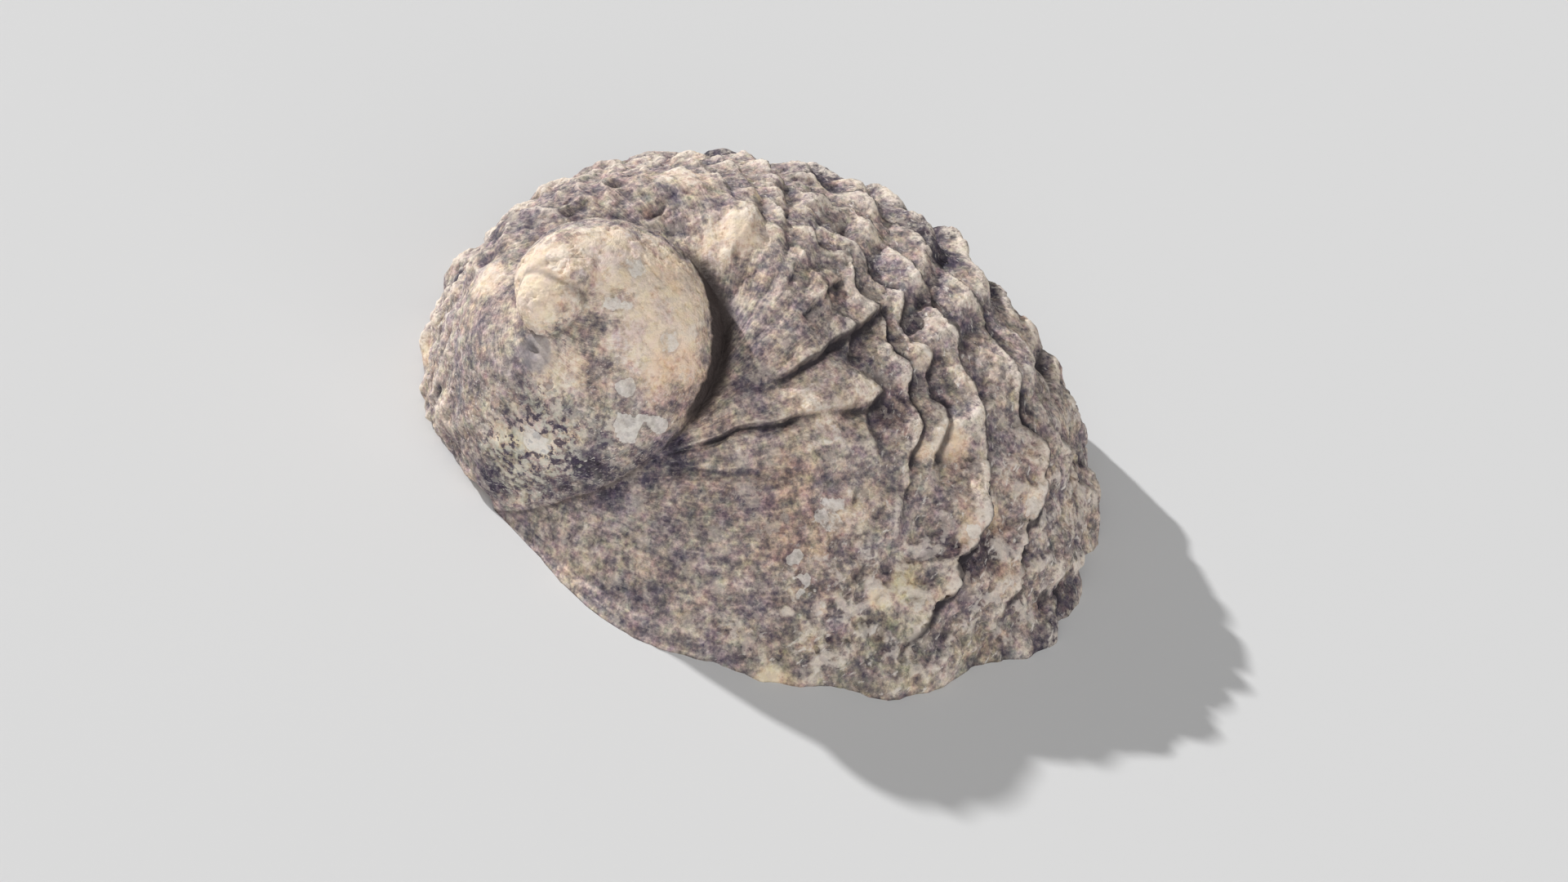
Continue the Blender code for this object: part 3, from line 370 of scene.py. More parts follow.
def floor_foot(angle):
    """Foot of the hidden left wall on the resting plane."""
    angle = np.asarray(angle, float)
    top = crest(angle)
    ahead = crest(angle + 0.001) - top
    outward = unit(np.stack([ahead[..., 1], -ahead[..., 0]], -1))
    foot = np.zeros(top.shape)
    foot[..., :2] = top[..., :2] + outward * np.interp(angle, FOOT_AT, FOOT_REACH)[..., None]
    return foot


def ring_vector(place, blend, spire):
    vector = margin(place) - POLE
    lift, direction = arch_of(vector)
    wanted = np.interp(place, ARCH_AT, ARCH_HEIGHT) * (1.0 - spire)
    wanted = wanted + np.interp(place, ARCH_AT, SPIRE_ARCH) * spire
    return vector + ((wanted - lift) * blend)[..., None] * direction


def ring_point(back, place):
    """Point of the smooth outer surface at a growth place."""
    back, place = np.broadcast_arrays(np.asarray(back, float), np.asarray(place, float))
    blend = smooth((back - 0.1) / 1.7)
    spire = smooth((back - SPIRE_ARCH_FROM) / 1.2)
    size = np.exp(-GROWTH_PER_RADIAN * back)[..., None]
    start = ring_vector(np.zeros(place.shape), blend, spire)
    end = ring_vector(np.ones(place.shape), blend, spire)
    point = POLE + size * turned(ring_vector(place, blend, spire), back)
    start_gap = crest(back + CREST_ANGLE) - POLE - size * turned(start, back)
    end_gap = suture_foot(back + SUTURE_ANGLE) - POLE - size * turned(end, back)
    end_gap[..., 2] *= np.where(back < 1e-6, 0.0, 1.0)
    near_start = smooth(1.0 - place / 0.3)[..., None] * smooth(back / 0.3)[..., None]
    near_end = smooth((place - 0.6) / 0.4)[..., None]
    return point + near_start * start_gap + near_end * end_gap


def lattice_noise(points, seed):
    """Smooth noise from -1 to 1 that changes over one unit."""
    cell = np.floor(points).astype(np.int64)
    part = points - cell
    part = part * part * (3.0 - 2.0 * part)
    total = np.zeros(points.shape[:-1])
    for corner in range(8):
        step = np.array([corner & 1, corner >> 1 & 1, corner >> 2 & 1])
        at = cell + step
        mixed = at[..., 0] * 73856093 ^ at[..., 1] * 19349663 ^ at[..., 2] * 83492791 ^ seed * 5915587
        mixed = ((mixed ^ (mixed >> 13)) * 1274126177) & 0x7FFFFFFF
        value = ((mixed >> 9) & 0xFFFF) / 32767.5 - 1.0
        weight = np.where(step == 1, part, 1.0 - part).prod(axis=-1)
        total = total + value * weight
    return total


def rough_noise(points, octaves, seed, gain=0.5):
    """Layered noise, each layer half the size of the one before."""
    total = 0.0
    amount = 1.0
    for octave in range(octaves):
        total = total + amount * lattice_noise(points * 2.0**octave, seed + octave)
        amount *= gain
    return total


def skyline(angle):
    """Height in mm of the row of teeth along the crest."""
    knots = np.array(sorted(TOOTH_TIPS + TOOTH_DIPS))
    index = np.clip(np.searchsorted(knots[:, 0], angle) - 1, 0, len(knots) - 2)
    span = knots[index + 1, 0] - knots[index, 0]
    part = smooth((angle - knots[index, 0]) / span)
    return knots[index, 1] + (knots[index + 1, 1] - knots[index, 1]) * part


def line_at(line, at):
    points = np.array(line)
    return np.interp(at, points[:, 0], points[:, 1])


def step_across(back, place, line, depth, reach):
    """A step down towards the lip along a line, deepest at its foot and rising again in front."""
    gap = back - line_at(line, place)
    return -depth * np.where(gap > 0.0, 1.0 - smooth(gap / STEP_EDGE), 1.0 - smooth(-gap / reach))


def rib_relief(back, place, swell):
    """Spiral ribs: each climbs slowly from the suture side and drops on the tooth side."""
    height = np.zeros(np.shape(back + place))
    young = 0.45 + 0.55 * smooth((back - 0.22) / 0.2)
    steps = zip(RIB_LINES, RIB_HEIGHTS, RIB_STARTS, RIB_DROPS, RIB_SLOPES)
    for line, amount, start, drop, slope in steps:
        offset = place - line_at(line, back) + RIB_LOBE * (swell - 0.5)
        shape = np.where(offset < 0.0, 1.0 - smooth(-offset / drop), 1.0 - smooth(offset / slope))
        shape = shape * smooth((back - start) / 0.14) * young
        height = height + amount * shape * (0.75 + 0.35 * swell)
    return height


def fold_phase(back, place, wander):
    """Growth folds: 0 at a fold's leading edge, 1 at the next edge behind it."""
    shifted = back - 0.12 * smooth(place / 0.6) + wander
    count = np.interp(shifted, FOLD_EDGES, np.arange(len(FOLD_EDGES)))
    return count - np.floor(count)


def sculpture(back, place, points):
    """Height of all the sculpture in millimetres at the size of the final whorl."""
    wander = 0.035 * lattice_noise(np.stack([back * 3.0, place * 9.0, 0.0 * back], -1), 11)
    phase = fold_phase(back, place, wander)
    rest = 1.0 - FOLD_DROP
    swell = np.where(phase < FOLD_DROP, smooth(phase / FOLD_DROP), 1.0 - smooth((phase - FOLD_DROP) / rest))
    fade = smooth((4.6 - back) / 1.2) * (0.5 + 0.5 * smooth((3.2 - back) / 1.4))
    low_side = smooth((0.80 - place) / 0.22)
    ribs = rib_relief(back, place, swell)
    folds = np.interp(place, FOLD_AT, FOLD_HEIGHT) * (swell - 0.8 + 0.2 * smooth(place / 0.25))
    folds = folds * smooth(place / TOOTH_REACH)
    near_lip = 1.0 - smooth((back - 0.40) / 0.35)
    folds = folds * (1.0 - near_lip * (0.35 + 0.35 * smooth((place - 0.15) / 0.2)))
    front = smooth((back - 0.55) / 0.3)
    inner = smooth((0.74 - place) / 0.14)
    height = ribs * np.where(place < 0.5, 1.0, 0.25 + 0.75 * np.maximum(front, smooth((0.6 - place) / 0.1)))
    sink = 1.6 * low_side * smooth(place / 0.1) * smooth(back / 0.15)
    height = height * (0.35 + 0.65 * inner) + folds - sink
    steps = step_across(back, place, DEEP_STEP, *DEEP_STEP_SIZE)
    height = height + steps * smooth((place - 0.50) / 0.08) * smooth((0.90 - place) / 0.12)
    uneven = 1.0 + 0.4 * lattice_noise(points / 6.0, 31)
    moved = back + 0.008 * lattice_noise(points / 4.0, 33)
    long_groove = step_across(moved, place, LONG_GROOVE, *LONG_GROOVE_SIZE) * uneven
    height = height + long_groove * smooth((place - 0.60) / 0.06)
    soft_groove = step_across(moved, place, SOFT_GROOVE, *SOFT_GROOVE_SIZE) * uneven
    height = height + soft_groove * smooth((place - 0.66) / 0.06) * smooth((1.0 - place) / 0.08)
    for line, depth in SHORT_STEPS:
        ends = smooth((place - line[0][0]) / 0.04) * smooth((line[-1][0] - place) / 0.04)
        height = height + step_across(back, place, line, depth, SHORT_STEP_REACH) * ends
    gap = back - line_at(CREAM_RIDGE, place)
    ridge = np.where(gap < 0.0, 1.0 - smooth(-gap / 0.035), 1.0 - smooth(gap / 0.22))
    height = height + 1.5 * ridge * smooth((place - 0.68) / 0.08) * smooth((0.99 - place) / 0.10)
    return height * fade


def surface_normals(grid):
    along = np.gradient(grid, axis=0)
    across = np.gradient(grid, axis=1)
    normal = np.cross(along, across)
    length = np.linalg.norm(normal, axis=-1)[..., None]
    normal = normal / np.maximum(length, 1e-9)
    middle = normal[grid.shape[0] // 4, grid.shape[1] // 2]
    return normal if middle[2] > 0 else -normal


def relief(back, place, points):
    """Outward height in millimetres at each growth place."""
    size = np.exp(-GROWTH_PER_RADIAN * back)
    height = sculpture(back, place, points)
    at_crest = 1.0 - smooth((place - 0.04) / TOOTH_REACH)
    teeth = skyline(back + CREST_ANGLE) * at_crest * smooth((4.3 - back) / 0.5)
    ends = smooth((1.0 - place) / 0.10)
    pit = np.hypot((back - PIT_BACK) / PIT_LONG, (place - PIT_PLACE) / PIT_WIDE)
    dent = -PIT_DEPTH * (1.0 - smooth(pit))
    lumps = 0.55 * rough_noise(points / 7.0, 3, 3) + 0.22 * rough_noise(points / 1.9, 3, 7)
    lumps = lumps * (0.35 + 0.65 * smooth((4.6 - back) / 0.6)) * smooth((1.0 - place) / 0.06)
    bent_back = back + 0.02 * lattice_noise(points / 3.0, 41)
    bent_place = place + 0.01 * lattice_noise(points / 3.0, 43)
    for spot_back, spot_place, long, wide, amount in SPOTS:
        gap = np.hypot((bent_back - spot_back) / long, (bent_place - spot_place) / wide)
        lumps = lumps + amount * (1.0 - smooth(gap))
    ridged = 1.0 - np.abs(lattice_noise(points / 4.5, 51)) - 0.6 * np.abs(lattice_noise(points / 2.4, 53))
    net = smooth((back - 2.5) / 0.4) * smooth((4.5 - back) / 0.5) * smooth((1.0 - place) / 0.1)
    lumps = lumps + 1.5 * (ridged - 0.55) * net
    lobes = np.interp(place, *np.transpose(LIP_LOBES)) * (1.0 - smooth(back / 0.16))
    return size * height * ends + teeth + dent + lumps + lobes


def with_dome(points):
    """Round the spiral's first whorls into the protoconch, a dome at the top of the spire."""
    centre = np.array(PROTOCONCH_CENTRE)
    vector = points - centre
    distance = np.maximum(np.linalg.norm(vector, axis=-1), 1e-6)
    along = vector @ AXIS
    aside = np.sqrt(np.maximum(distance**2 - along**2, 0.0))
    inside = smooth((PROTOCONCH_RADIUS - 0.9 - aside) / 1.6) * (along > 0.0)
    raised = 0.5 * (distance + PROTOCONCH_RADIUS + np.sqrt((distance - PROTOCONCH_RADIUS) ** 2 + DOME_BLEND))
    raised = distance + (raised - distance) * smooth((PROTOCONCH_RADIUS + 5.0 - distance) / 3.0)
    wanted = raised + (PROTOCONCH_RADIUS - raised) * inside
    return centre + vector * (wanted / distance)[..., None]


def painted(points, areas, raggedness, hard=False):
    """How strongly each point lies in the coloured areas, whose edges are ragged."""
    ragged = raggedness * rough_noise(points / 3.0, 3, 61)
    amount = np.zeros(points.shape[:-1])
    for back, place, radius, strength in areas:
        centre = with_dome(ring_point(back, place))
        reach = np.linalg.norm(points - centre, axis=-1) / radius + ragged
        inside = smooth((1.0 - reach) / 0.12) if hard else smooth((1.25 - reach) / 0.9)
        amount = np.maximum(amount, strength * inside)
    return amount


def crevice_shade(back, place):
    """Painted shade in the step round the spire, broad on its right side and thin below it."""
    turn = np.where(place < 0.0, back - RING_LAG, back)
    broad = smooth((turn - CREVICE_FROM) / 0.3) * smooth((CREVICE_TO - turn) / 0.5)
    wide = 0.012 + 0.055 * broad
    rim = smooth((place - 1.0 + wide) / (0.7 * wide)) * (0.6 + 0.4 * broad)
    wall = smooth(-place / 0.025) * broad
    return np.where(place < 0.0, wall, rim) * (turn < 5.0)


def neighbour(field, steps, axis):
    """The value some steps further along an axis, with the edge repeated past the end."""
    last = field.shape[axis] - 1
    return np.take(field, np.clip(np.arange(last + 1) + steps, 0, last), axis)


def blurred(field, passes):
    for _ in range(passes):
        for axis in (0, 1):
            field = 0.5 * field + 0.25 * (neighbour(field, 1, axis) + neighbour(field, -1, axis))
    return field


def row_angles():
    """Growth angles of the rows, an even distance apart on the shell within each lag."""
    share = np.arange(FINE_ROWS + 1) / FINE_ROWS
    end = 1.0 - np.exp(-GROWTH_PER_RADIAN * RING_LAG)
    first = -np.log(1.0 - share * end) / GROWTH_PER_RADIAN
    first[-1] = RING_LAG
    rows = [first]
    for lag in range(1, LAGS):
        rows.append(first[1:] + lag * RING_LAG)
    return np.concatenate(rows)


def outer_grid():
    back = row_angles()
    rows = len(back)
    place = np.linspace(0.0, 1.0, FINE_STEPS + 1)
    wide_back = np.broadcast_to(back[:, None], (rows, FINE_STEPS + 1))
    wide_place = np.broadcast_to(place[None, :], wide_back.shape)
    smooth_sheet = ring_point(wide_back, wide_place)
    normal = surface_normals(smooth_sheet)
    amount = relief(wide_back, wide_place, smooth_sheet)
    sheet = smooth_sheet + normal * amount[..., None]
    # The final lip stays on the resting plane while its outline keeps the sculpture
    sheet[0, :, 2] = 0.0
    early = smooth(back / 0.10)[:, None]
    sheet[..., 2] = sheet[..., 2] * early + np.maximum(smooth_sheet[..., 2], 0.0) * (1.0 - early)
    sheet[..., 2] = np.maximum(sheet[..., 2], 0.0)
    sheet[:, -1] = smooth_sheet[:, -1]
    sheet[0, -1, 2] = 0.0
    foot = np.zeros((rows, 3))
    inside = np.arange(rows) < FINE_ROWS
    foot[inside] = floor_foot(back[inside] + CREST_ANGLE)
    foot[~inside] = sheet[: rows - FINE_ROWS, -1]
    foot[0] = sheet[0, 0]
    down = np.linspace(0.0, 1.0, WALL_STEPS + 1)[:-1]
    wall = foot[:, None] + (sheet[:, :1] - foot[:, None]) * down[None, :, None]
    height = np.linalg.norm(sheet[:, 0] - foot, axis=1)
    outward = unit(np.cross(np.gradient(sheet[:, 0], axis=0), sheet[:, 0] - foot + 1e-6))
    side = np.sign((outward * radial(back + CREST_ANGLE)).sum(-1))[:, None]
    belly = 0.07 * height[:, None] * np.sin(np.pi * down)[None, :]
    rough = 0.5 * rough_noise(wall / 6.0, 4, 21) * np.sin(np.pi * down)[None, :] * (height[:, None] > 3.0)
    wall = wall + (outward * side)[:, None] * (belly + rough)[..., None]
    whole = np.concatenate([wall, sheet], axis=1)
    grid = with_dome(whole)
    # Relief against its surroundings, which drives painted light on crests and painted shade in hollows
    contrast = amount - 0.5 * blurred(amount, 12) - 0.5 * blurred(amount, 60)
    # Painted shade on the steep faces that drop towards the teeth and the lip
    across = np.linalg.norm(np.gradient(smooth_sheet, axis=1), axis=-1) + 0.05
    along = np.linalg.norm(np.gradient(smooth_sheet, axis=0), axis=-1) + 0.05
    to_teeth = np.gradient(amount, axis=1) / across
    to_lip = np.gradient(amount, axis=0) / along
    ledge = blurred(0.9 * np.maximum(to_teeth, 0.0) + 0.6 * np.maximum(to_lip, 0.0), 2)
    # The painted shade line reaches into the trough at the foot of each ledge
    ledge = np.maximum(ledge, np.concatenate([ledge[:, 2:], ledge[:, -2:]], axis=1))
    ledge = np.maximum(ledge, np.concatenate([ledge[2:], ledge[-2:]], axis=0))
    traces = {}
    for name, values in (("carving", contrast), ("ledge", ledge)):
        traces[name] = np.concatenate([np.zeros(wall.shape[:2]), values], axis=1)
    # Painted shade in the crease round the first whorl
    rim = np.linalg.norm(whole - np.array(PROTOCONCH_CENTRE), axis=-1)
    traces["crease"] = CREASE_SHADE * (1.0 - smooth(np.abs(rim - PROTOCONCH_RADIUS) / CREASE_WIDTH))
    return back, grid, traces


def paint_layers(grid, back, place):
    """Named colour amounts at every outer point."""
    return {
        "pale": painted(grid, PALE_AREAS, 0.22) - painted(grid, DARK_AREAS, 0.22),
        "green": painted(grid, GREEN_AREAS, 0.25),
        "brown": painted(grid, BROWN_AREAS, 0.25),
        "spotted": painted(grid, SPOTTED_AREAS, 0.25),
        "blue_grey": painted(grid, BLUE_GREY_AREAS, 0.12, hard=True),
        "flake": painted(grid, FLAKES, 0.55, hard=True),
        "crevice": crevice_shade(back[:, None], place[None, :]),
    }


def shell_faces(name):
    """Quads of the fine last whorl and of the spire, whose mesh is half as fine."""
    faces = []
    fine = name[: FINE_ROWS + 1]
    quads = np.stack([fine[:-1, :-1], fine[1:, :-1], fine[1:, 1:], fine[:-1, 1:]], -1)
    faces.extend(quads[1:].reshape(-1, 4).tolist())
    for j in range(name.shape[1] - 1):
        if j < WALL_STEPS:
            faces.append([name[0, 0], name[1, j], name[1, j + 1]])
        else:
            faces.append(quads[0, j].tolist())
    rows = range(FINE_ROWS, name.shape[0] - 1, 2)
    for i in rows:
        for j in range(0, name.shape[1] - 1, 2):
            corners = [name[i, j]]
            if j == 0 and i < 2 * FINE_ROWS:
                corners.append(name[i + 1, 0])
            corners.extend([name[i + 2, j], name[i + 2, j + 2], name[i, j + 2]])
            if i == FINE_ROWS:
                corners.append(name[i, j + 1])
            faces.append([int(c) for c in corners])
    return faces


def lid_height(grid, low, size):
    """Lowest outer height in each plan cell, lowered by the wall thickness."""
    heights = np.full(size, 1e3)
    cell = ((grid[:, :, :2].reshape(-1, 2) - low) / CELL).astype(int)
    np.minimum.at(heights, (cell[:, 0], cell[:, 1]), grid[:, :, 2].ravel())
    filled = heights.copy()
    for dx in (-1, 0, 1):
        for dy in (-1, 0, 1):
            near = np.where(heights > 900, np.roll(heights, (dx, dy), (0, 1)), heights)
            filled = np.minimum(filled, near)
    filled[filled > 900] = 60.0
    ball_radius = WALL_THICKNESS + 0.5
    reach = int(np.ceil(ball_radius / CELL)) + 1
    lid = np.full(size, 60.0)
    for dx in range(-reach, reach + 1):
        for dy in range(-reach, reach + 1):
            gap = np.hypot(dx, dy) * CELL
            if gap <= ball_radius:
                ball = np.sqrt(ball_radius**2 - gap * gap)
                lid = np.minimum(lid, np.roll(filled, (dx, dy), (0, 1)) - ball)
    for _ in range(8):
        blur = sum(np.roll(lid, s, x) for s in (-1, 0, 1) for x in (0, 1)) / 6.0
        lid = np.minimum(lid, blur)
    return lid


def read_lid(lid, low, flat):
    where = (flat[:, :2] - low) / CELL - 0.5
    i = np.floor(where).astype(int)
    f = where - i
    return (
        lid[i[:, 0], i[:, 1]] * (1 - f[:, 0]) * (1 - f[:, 1])
        + lid[i[:, 0] + 1, i[:, 1]] * f[:, 0] * (1 - f[:, 1])
        + lid[i[:, 0], i[:, 1] + 1] * (1 - f[:, 0]) * f[:, 1]
        + lid[i[:, 0] + 1, i[:, 1] + 1] * f[:, 0] * f[:, 1]
    )


def close_apex(points, faces, name, grid):
    """Rings that close the small end of the spiral into a dome."""
    rows = grid.shape[0]
    loop = list(name[rows - 1, ::2]) + list(name[rows - 3 : rows - 1 - FINE_ROWS : -2, -1])
    flat = grid.reshape(-1, 3)
    ring = flat[np.array(loop)]
    centre = ring.mean(axis=0)
    old = loop
    for step in range(1, APEX_RINGS):
        part = step / APEX_RINGS
        rise = APEX_RISE * (1.0 - (1.0 - part) ** 2)
        new = list(range(len(points), len(points) + len(loop)))
        points.extend(with_dome(ring + (centre - ring) * part + AXIS * rise).tolist())
        for j in range(len(loop)):
            k = (j + 1) % len(loop)
            faces.append([int(old[j]), int(old[k]), new[k], new[j]])
        old = new
    tip = len(points)
    points.append(with_dome(centre + AXIS * APEX_RISE).tolist())
    for j in range(len(loop)):
        faces.append([old[j], old[(j + 1) % len(loop)], tip])


def close_below(points, faces, name, grid):
    """The flat lip on the resting plane and the hollow inside it."""
    low = grid[:, :, :2].reshape(-1, 2).min(axis=0) - LID_MARGIN
    high = grid[:, :, :2].reshape(-1, 2).max(axis=0) + LID_MARGIN
    lid = lid_height(grid, low, np.ceil((high - low) / CELL).astype(int))
    outline = list(name[0, -1:WALL_STEPS:-1]) + list(name[0:FINE_ROWS, 0])
    edge = grid.reshape(-1, 3)[np.array(outline)]
    middle = np.array([BOWL_CENTRE[0], BOWL_CENTRE[1], 0.0])
    toward = middle - edge
    inner_edge = edge + toward / np.linalg.norm(toward, axis=1)[:, None] * LIP_WIDTH
    old = [int(i) for i in outline]
    for step in range(BOWL_RINGS):
        part = (step / BOWL_RINGS) ** 1.15
        flat = inner_edge + (middle - inner_edge) * part
        flat[:, 2] = 0.0
        if step:
            flat[:, 2] = np.maximum(read_lid(lid, low, flat), 0.0)
        new = list(range(len(points), len(points) + len(outline)))
        points.extend(flat.tolist())
        for j in range(len(outline)):
            k = (j + 1) % len(outline)
            faces.append([old[j], new[j], new[k], old[k]])
        old = new
    tip = len(points)
    points.append([middle[0], middle[1], float(flat[:, 2].mean())])
    for j in range(len(outline)):
        faces.append([old[j], tip, old[(j + 1) % len(outline)]])


def make_shell():
    back, grid, traces = outer_grid()
    rows, columns, _ = grid.shape
    name = np.arange(rows * columns).reshape(rows, columns)
    name[FINE_ROWS:, 0] = name[: rows - FINE_ROWS, -1]
    name[0, : WALL_STEPS + 1] = name[0, 0]
    points = grid.reshape(-1, 3).tolist()
    faces = shell_faces(name)
    close_apex(points, faces, name, grid)
    below = len(points)
    close_below(points, faces, name, grid)
    mesh = bpy.data.meshes.new("fossil_shell")
    places = (np.array(points) - np.array([PLAN_CENTRE[0], PLAN_CENTRE[1], 0.0])) * MM
    mesh.from_pydata(places.tolist(), [], faces)
    growth = np.zeros((len(points), 3), np.float32)
    wall_place = np.linspace(WALL_PLACE, 0.0, WALL_STEPS + 1)[:-1]
    place = np.concatenate([wall_place, np.linspace(0.0, 1.0, FINE_STEPS + 1)])
    growth[: rows * columns, 0] = np.repeat(back, columns)
    growth[: rows * columns, 1] = np.tile(place, rows)
    growth[rows * columns : below, 0] = back[-1]
    growth[below:, 2] = 1.0
    mesh.attributes.new("growth", "FLOAT_VECTOR", "POINT").data.foreach_set("vector", growth.ravel())
    layers = {**traces, **paint_layers(grid, back, place)}
    for layer, amount in layers.items():
        values = np.zeros(len(points), np.float32)
        values[: rows * columns] = amount.ravel()
        values[rows * columns : below] = amount[-1, WALL_STEPS:].mean()
        mesh.attributes.new(layer, "FLOAT", "POINT").data.foreach_set("value", values)
    body = bmesh.new()
    body.from_mesh(mesh)
    loose = [v for v in body.verts if not v.link_faces]
    bmesh.ops.delete(body, geom=loose, context="VERTS")
    bmesh.ops.remove_doubles(body, verts=body.verts, dist=0.00001 * MM)
    bmesh.ops.triangulate(body, faces=body.faces)
    bmesh.ops.recalc_face_normals(body, faces=body.faces)
    if body.calc_volume(signed=True) < 0.0:
        bmesh.ops.reverse_faces(body, faces=body.faces)
    body.to_mesh(mesh)
    body.free()
    shell = bpy.data.objects.new("fossil_shell", mesh)
    bpy.context.scene.collection.objects.link(shell)
    return shell


def weathered_skin():
    """Node group that crumples the outside along its normals and keeps the amount by name."""
    tree = bpy.data.node_groups.new("weathered_skin", "GeometryNodeTree")
    tree.is_modifier = True
    sockets = [("Geometry", "INPUT", "Geometry"), ("Crumple size", "INPUT", "Float")]
    sockets += [("Depth", "INPUT", "Float"), ("Geometry", "OUTPUT", "Geometry")]
    for name, way, kind in sockets:
        tree.interface.new_socket(name=name, in_out=way, socket_type="NodeSocket" + kind)
    given = Signal(tree).node("NodeGroupInput")
    frequency = given.math("DIVIDE", 1.0, given.output("Crumple size"))
    depth = given.output("Depth")
    place = given.node("GeometryNodeInputPosition")
    settings = {"data_type": "FLOAT_VECTOR"}
    growth = given.node("GeometryNodeInputNamedAttribute", settings, {"Name": "growth"})
    back, across, inside = (growth.part(axis) for axis in range(3))
    bend = place.noise(frequency * 0.8, 1.0, 0.5, colour=True).times(CRUMPLE_BEND * MM)
    bent = place.vector_math("ADD", bend)
    rolling = (bent.noise(frequency, 5.0, 0.62) - 0.5) * ROLL_SHARE
    crossing = bent.noise(frequency * 2.0, 3.0, 0.55) - 0.5
    folded = 1.0 - given.math("ABSOLUTE", crossing) * FOLD_SHARPNESS
    amount = rolling + folded.limited(-0.8, 1.0) * FOLD_SHARE - 0.05
    ribbed = across.clamped(0.78, 0.52)
    front = back.clamped(0.75, 0.25)
    reach = (PLAIN_SHARE + (1.0 - PLAIN_SHARE) * ribbed) * (1.0 + FRONT_SHARE * front)
    lifted = place.part(2).clamped(CRUMPLE_FADE[0] * MM, CRUMPLE_FADE[1] * MM)
    amount = amount * lifted * (1.0 - inside) * reach
    shift = given.node("GeometryNodeInputNormal").times(amount * depth)
    moved = given.node("GeometryNodeSetPosition", {}, {"Geometry": given, "Offset": shift})
    settings = {"data_type": "FLOAT", "domain": "POINT"}
    named = {"Geometry": moved, "Name": "crumple", "Value": amount}
    stored = given.node("GeometryNodeStoreNamedAttribute", settings, named)
    out = tree.nodes.new("NodeGroupOutput")
    tree.links.new(stored.socket, out.inputs["Geometry"])
    return tree


def crumple(shell):
    """Put the weathered skin on the shell, before the mesh is thinned."""
    skin = shell.modifiers.new("weathered", "NODES")
    skin.node_group = weathered_skin()
    wanted = {"Crumple size": CRUMPLE_SIZE * MM, "Depth": CRUMPLE_DEPTH * MM}
    for item in skin.node_group.interface.items_tree:
        if item.in_out == "INPUT" and item.name in wanted:
            skin[item.identifier] = wanted[item.name]


def slim(shell):
    """Thin the mesh where it is flat, so that the triangles go to the sculpture."""
    fewer = shell.modifiers.new("fewer", "DECIMATE")
    fewer.ratio = min(1.0, TRIANGLES / len(shell.data.polygons))
    fewer.use_collapse_triangulate = True
    graph = bpy.context.evaluated_depsgraph_get()
    mesh = bpy.data.meshes.new_from_object(shell.evaluated_get(graph))
    shell.modifiers.clear()
    old = shell.data
    shell.data = mesh
    bpy.data.meshes.remove(old)
    mesh.name = "fossil_shell"
    mesh.shade_smooth()
    # Thinning can push the resting rim a hair below the floor
    places = np.zeros(3 * len(mesh.vertices))
    mesh.vertices.foreach_get("co", places)
    places[2::3] = np.maximum(places[2::3], 0.0)
    mesh.vertices.foreach_set("co", places)
    mesh.update()


class Signal:
    """One output of a node in a material or a node group. Arithmetic on it adds Math nodes."""

    def __init__(self, tree, socket=None):
        self.tree = tree
        self.socket = socket

    def node(self, kind, settings=None, inputs=None, output=0):
        """Add a node, set its settings, then fill its inputs with values or signals."""
        made = self.tree.nodes.new(kind)
        for key, value in (settings or {}).items():
            if key == "stops":
                fill_ramp(made.color_ramp, value)
            else:
                setattr(made, key, value)
        for key, value in (inputs or {}).items():
            if isinstance(value, Signal):
                self.tree.links.new(value.socket, made.inputs[key])
            else:
                made.inputs[key].default_value = value
        return Signal(self.tree, made.outputs[output])

    def output(self, name):
        """Another output of the same node."""
        return Signal(self.tree, self.socket.node.outputs[name])

    def part(self, axis):
        """One number of this vector."""
        return self.node("ShaderNodeSeparateXYZ", {}, {0: self}, output=axis)

    def math(self, operation, first, second=0.0):
        return self.node("ShaderNodeMath", {"operation": operation}, {0: first, 1: second})

    def __add__(self, other):
        return self.math("ADD", self, other)

    def __radd__(self, other):
        return self.math("ADD", other, self)

    def __sub__(self, other):
        return self.math("SUBTRACT", self, other)

    def __rsub__(self, other):
        return self.math("SUBTRACT", other, self)

    def __mul__(self, other):
        return self.math("MULTIPLY", self, other)

    def __rmul__(self, other):
        return self.math("MULTIPLY", other, self)

    def attribute(self, name, output="Fac"):
        return self.node("ShaderNodeAttribute", {"attribute_name": name}, output=output)

    def noise(self, scale, detail, roughness, colour=False):
        """Noise at this place, from 0 to 1."""
        inputs = {"Vector": self, "Scale": scale, "Detail": detail, "Roughness": roughness}
        return self.node("ShaderNodeTexNoise", {}, inputs, output="Color" if colour else 0)

    def vector_math(self, operation, other):
        return self.node("ShaderNodeVectorMath", {"operation": operation}, {0: self, 1: other})

    def times(self, amount):
        """This vector made longer or shorter."""
        return self.node("ShaderNodeVectorMath", {"operation": "SCALE"}, {0: self, "Scale": amount})

    def limited(self, low, high):
        return self.math("MINIMUM", self.math("MAXIMUM", self, low), high)

    def clamped(self, low, high):
        """0 at or before low, 1 at or past high, smooth between."""
        settings = {"interpolation_type": "SMOOTHSTEP"}
        return self.node("ShaderNodeMapRange", settings, {"Value": self, "From Min": low, "From Max": high})

    def mix(self, first, second):
        """Colour first where this is 0, second where it is 1."""
        return self.blend("MIX", first, second)

    def blend(self, kind, first, second):
        """Colour second laid over colour first with this strength."""
        settings = {"data_type": "RGBA", "blend_type": kind}
        return self.node("ShaderNodeMix", settings, {0: self, 6: first, 7: second}, output=2)


def fill_ramp(ramp, stops):
    while len(ramp.elements) < len(stops):
        ramp.elements.new(0.5)
    for element, (position, colour) in zip(ramp.elements, stops):
        element.position = position
        element.color = colour


def tint(red, green, blue):
    """A colour given in screen values from 0 to 255."""
    channels = [value / 255.0 for value in (red, green, blue)]
    linear = [c / 12.92 if c <= 0.04045 else ((c + 0.055) / 1.055) ** 2.4 for c in channels]
    return (*linear, 1.0)


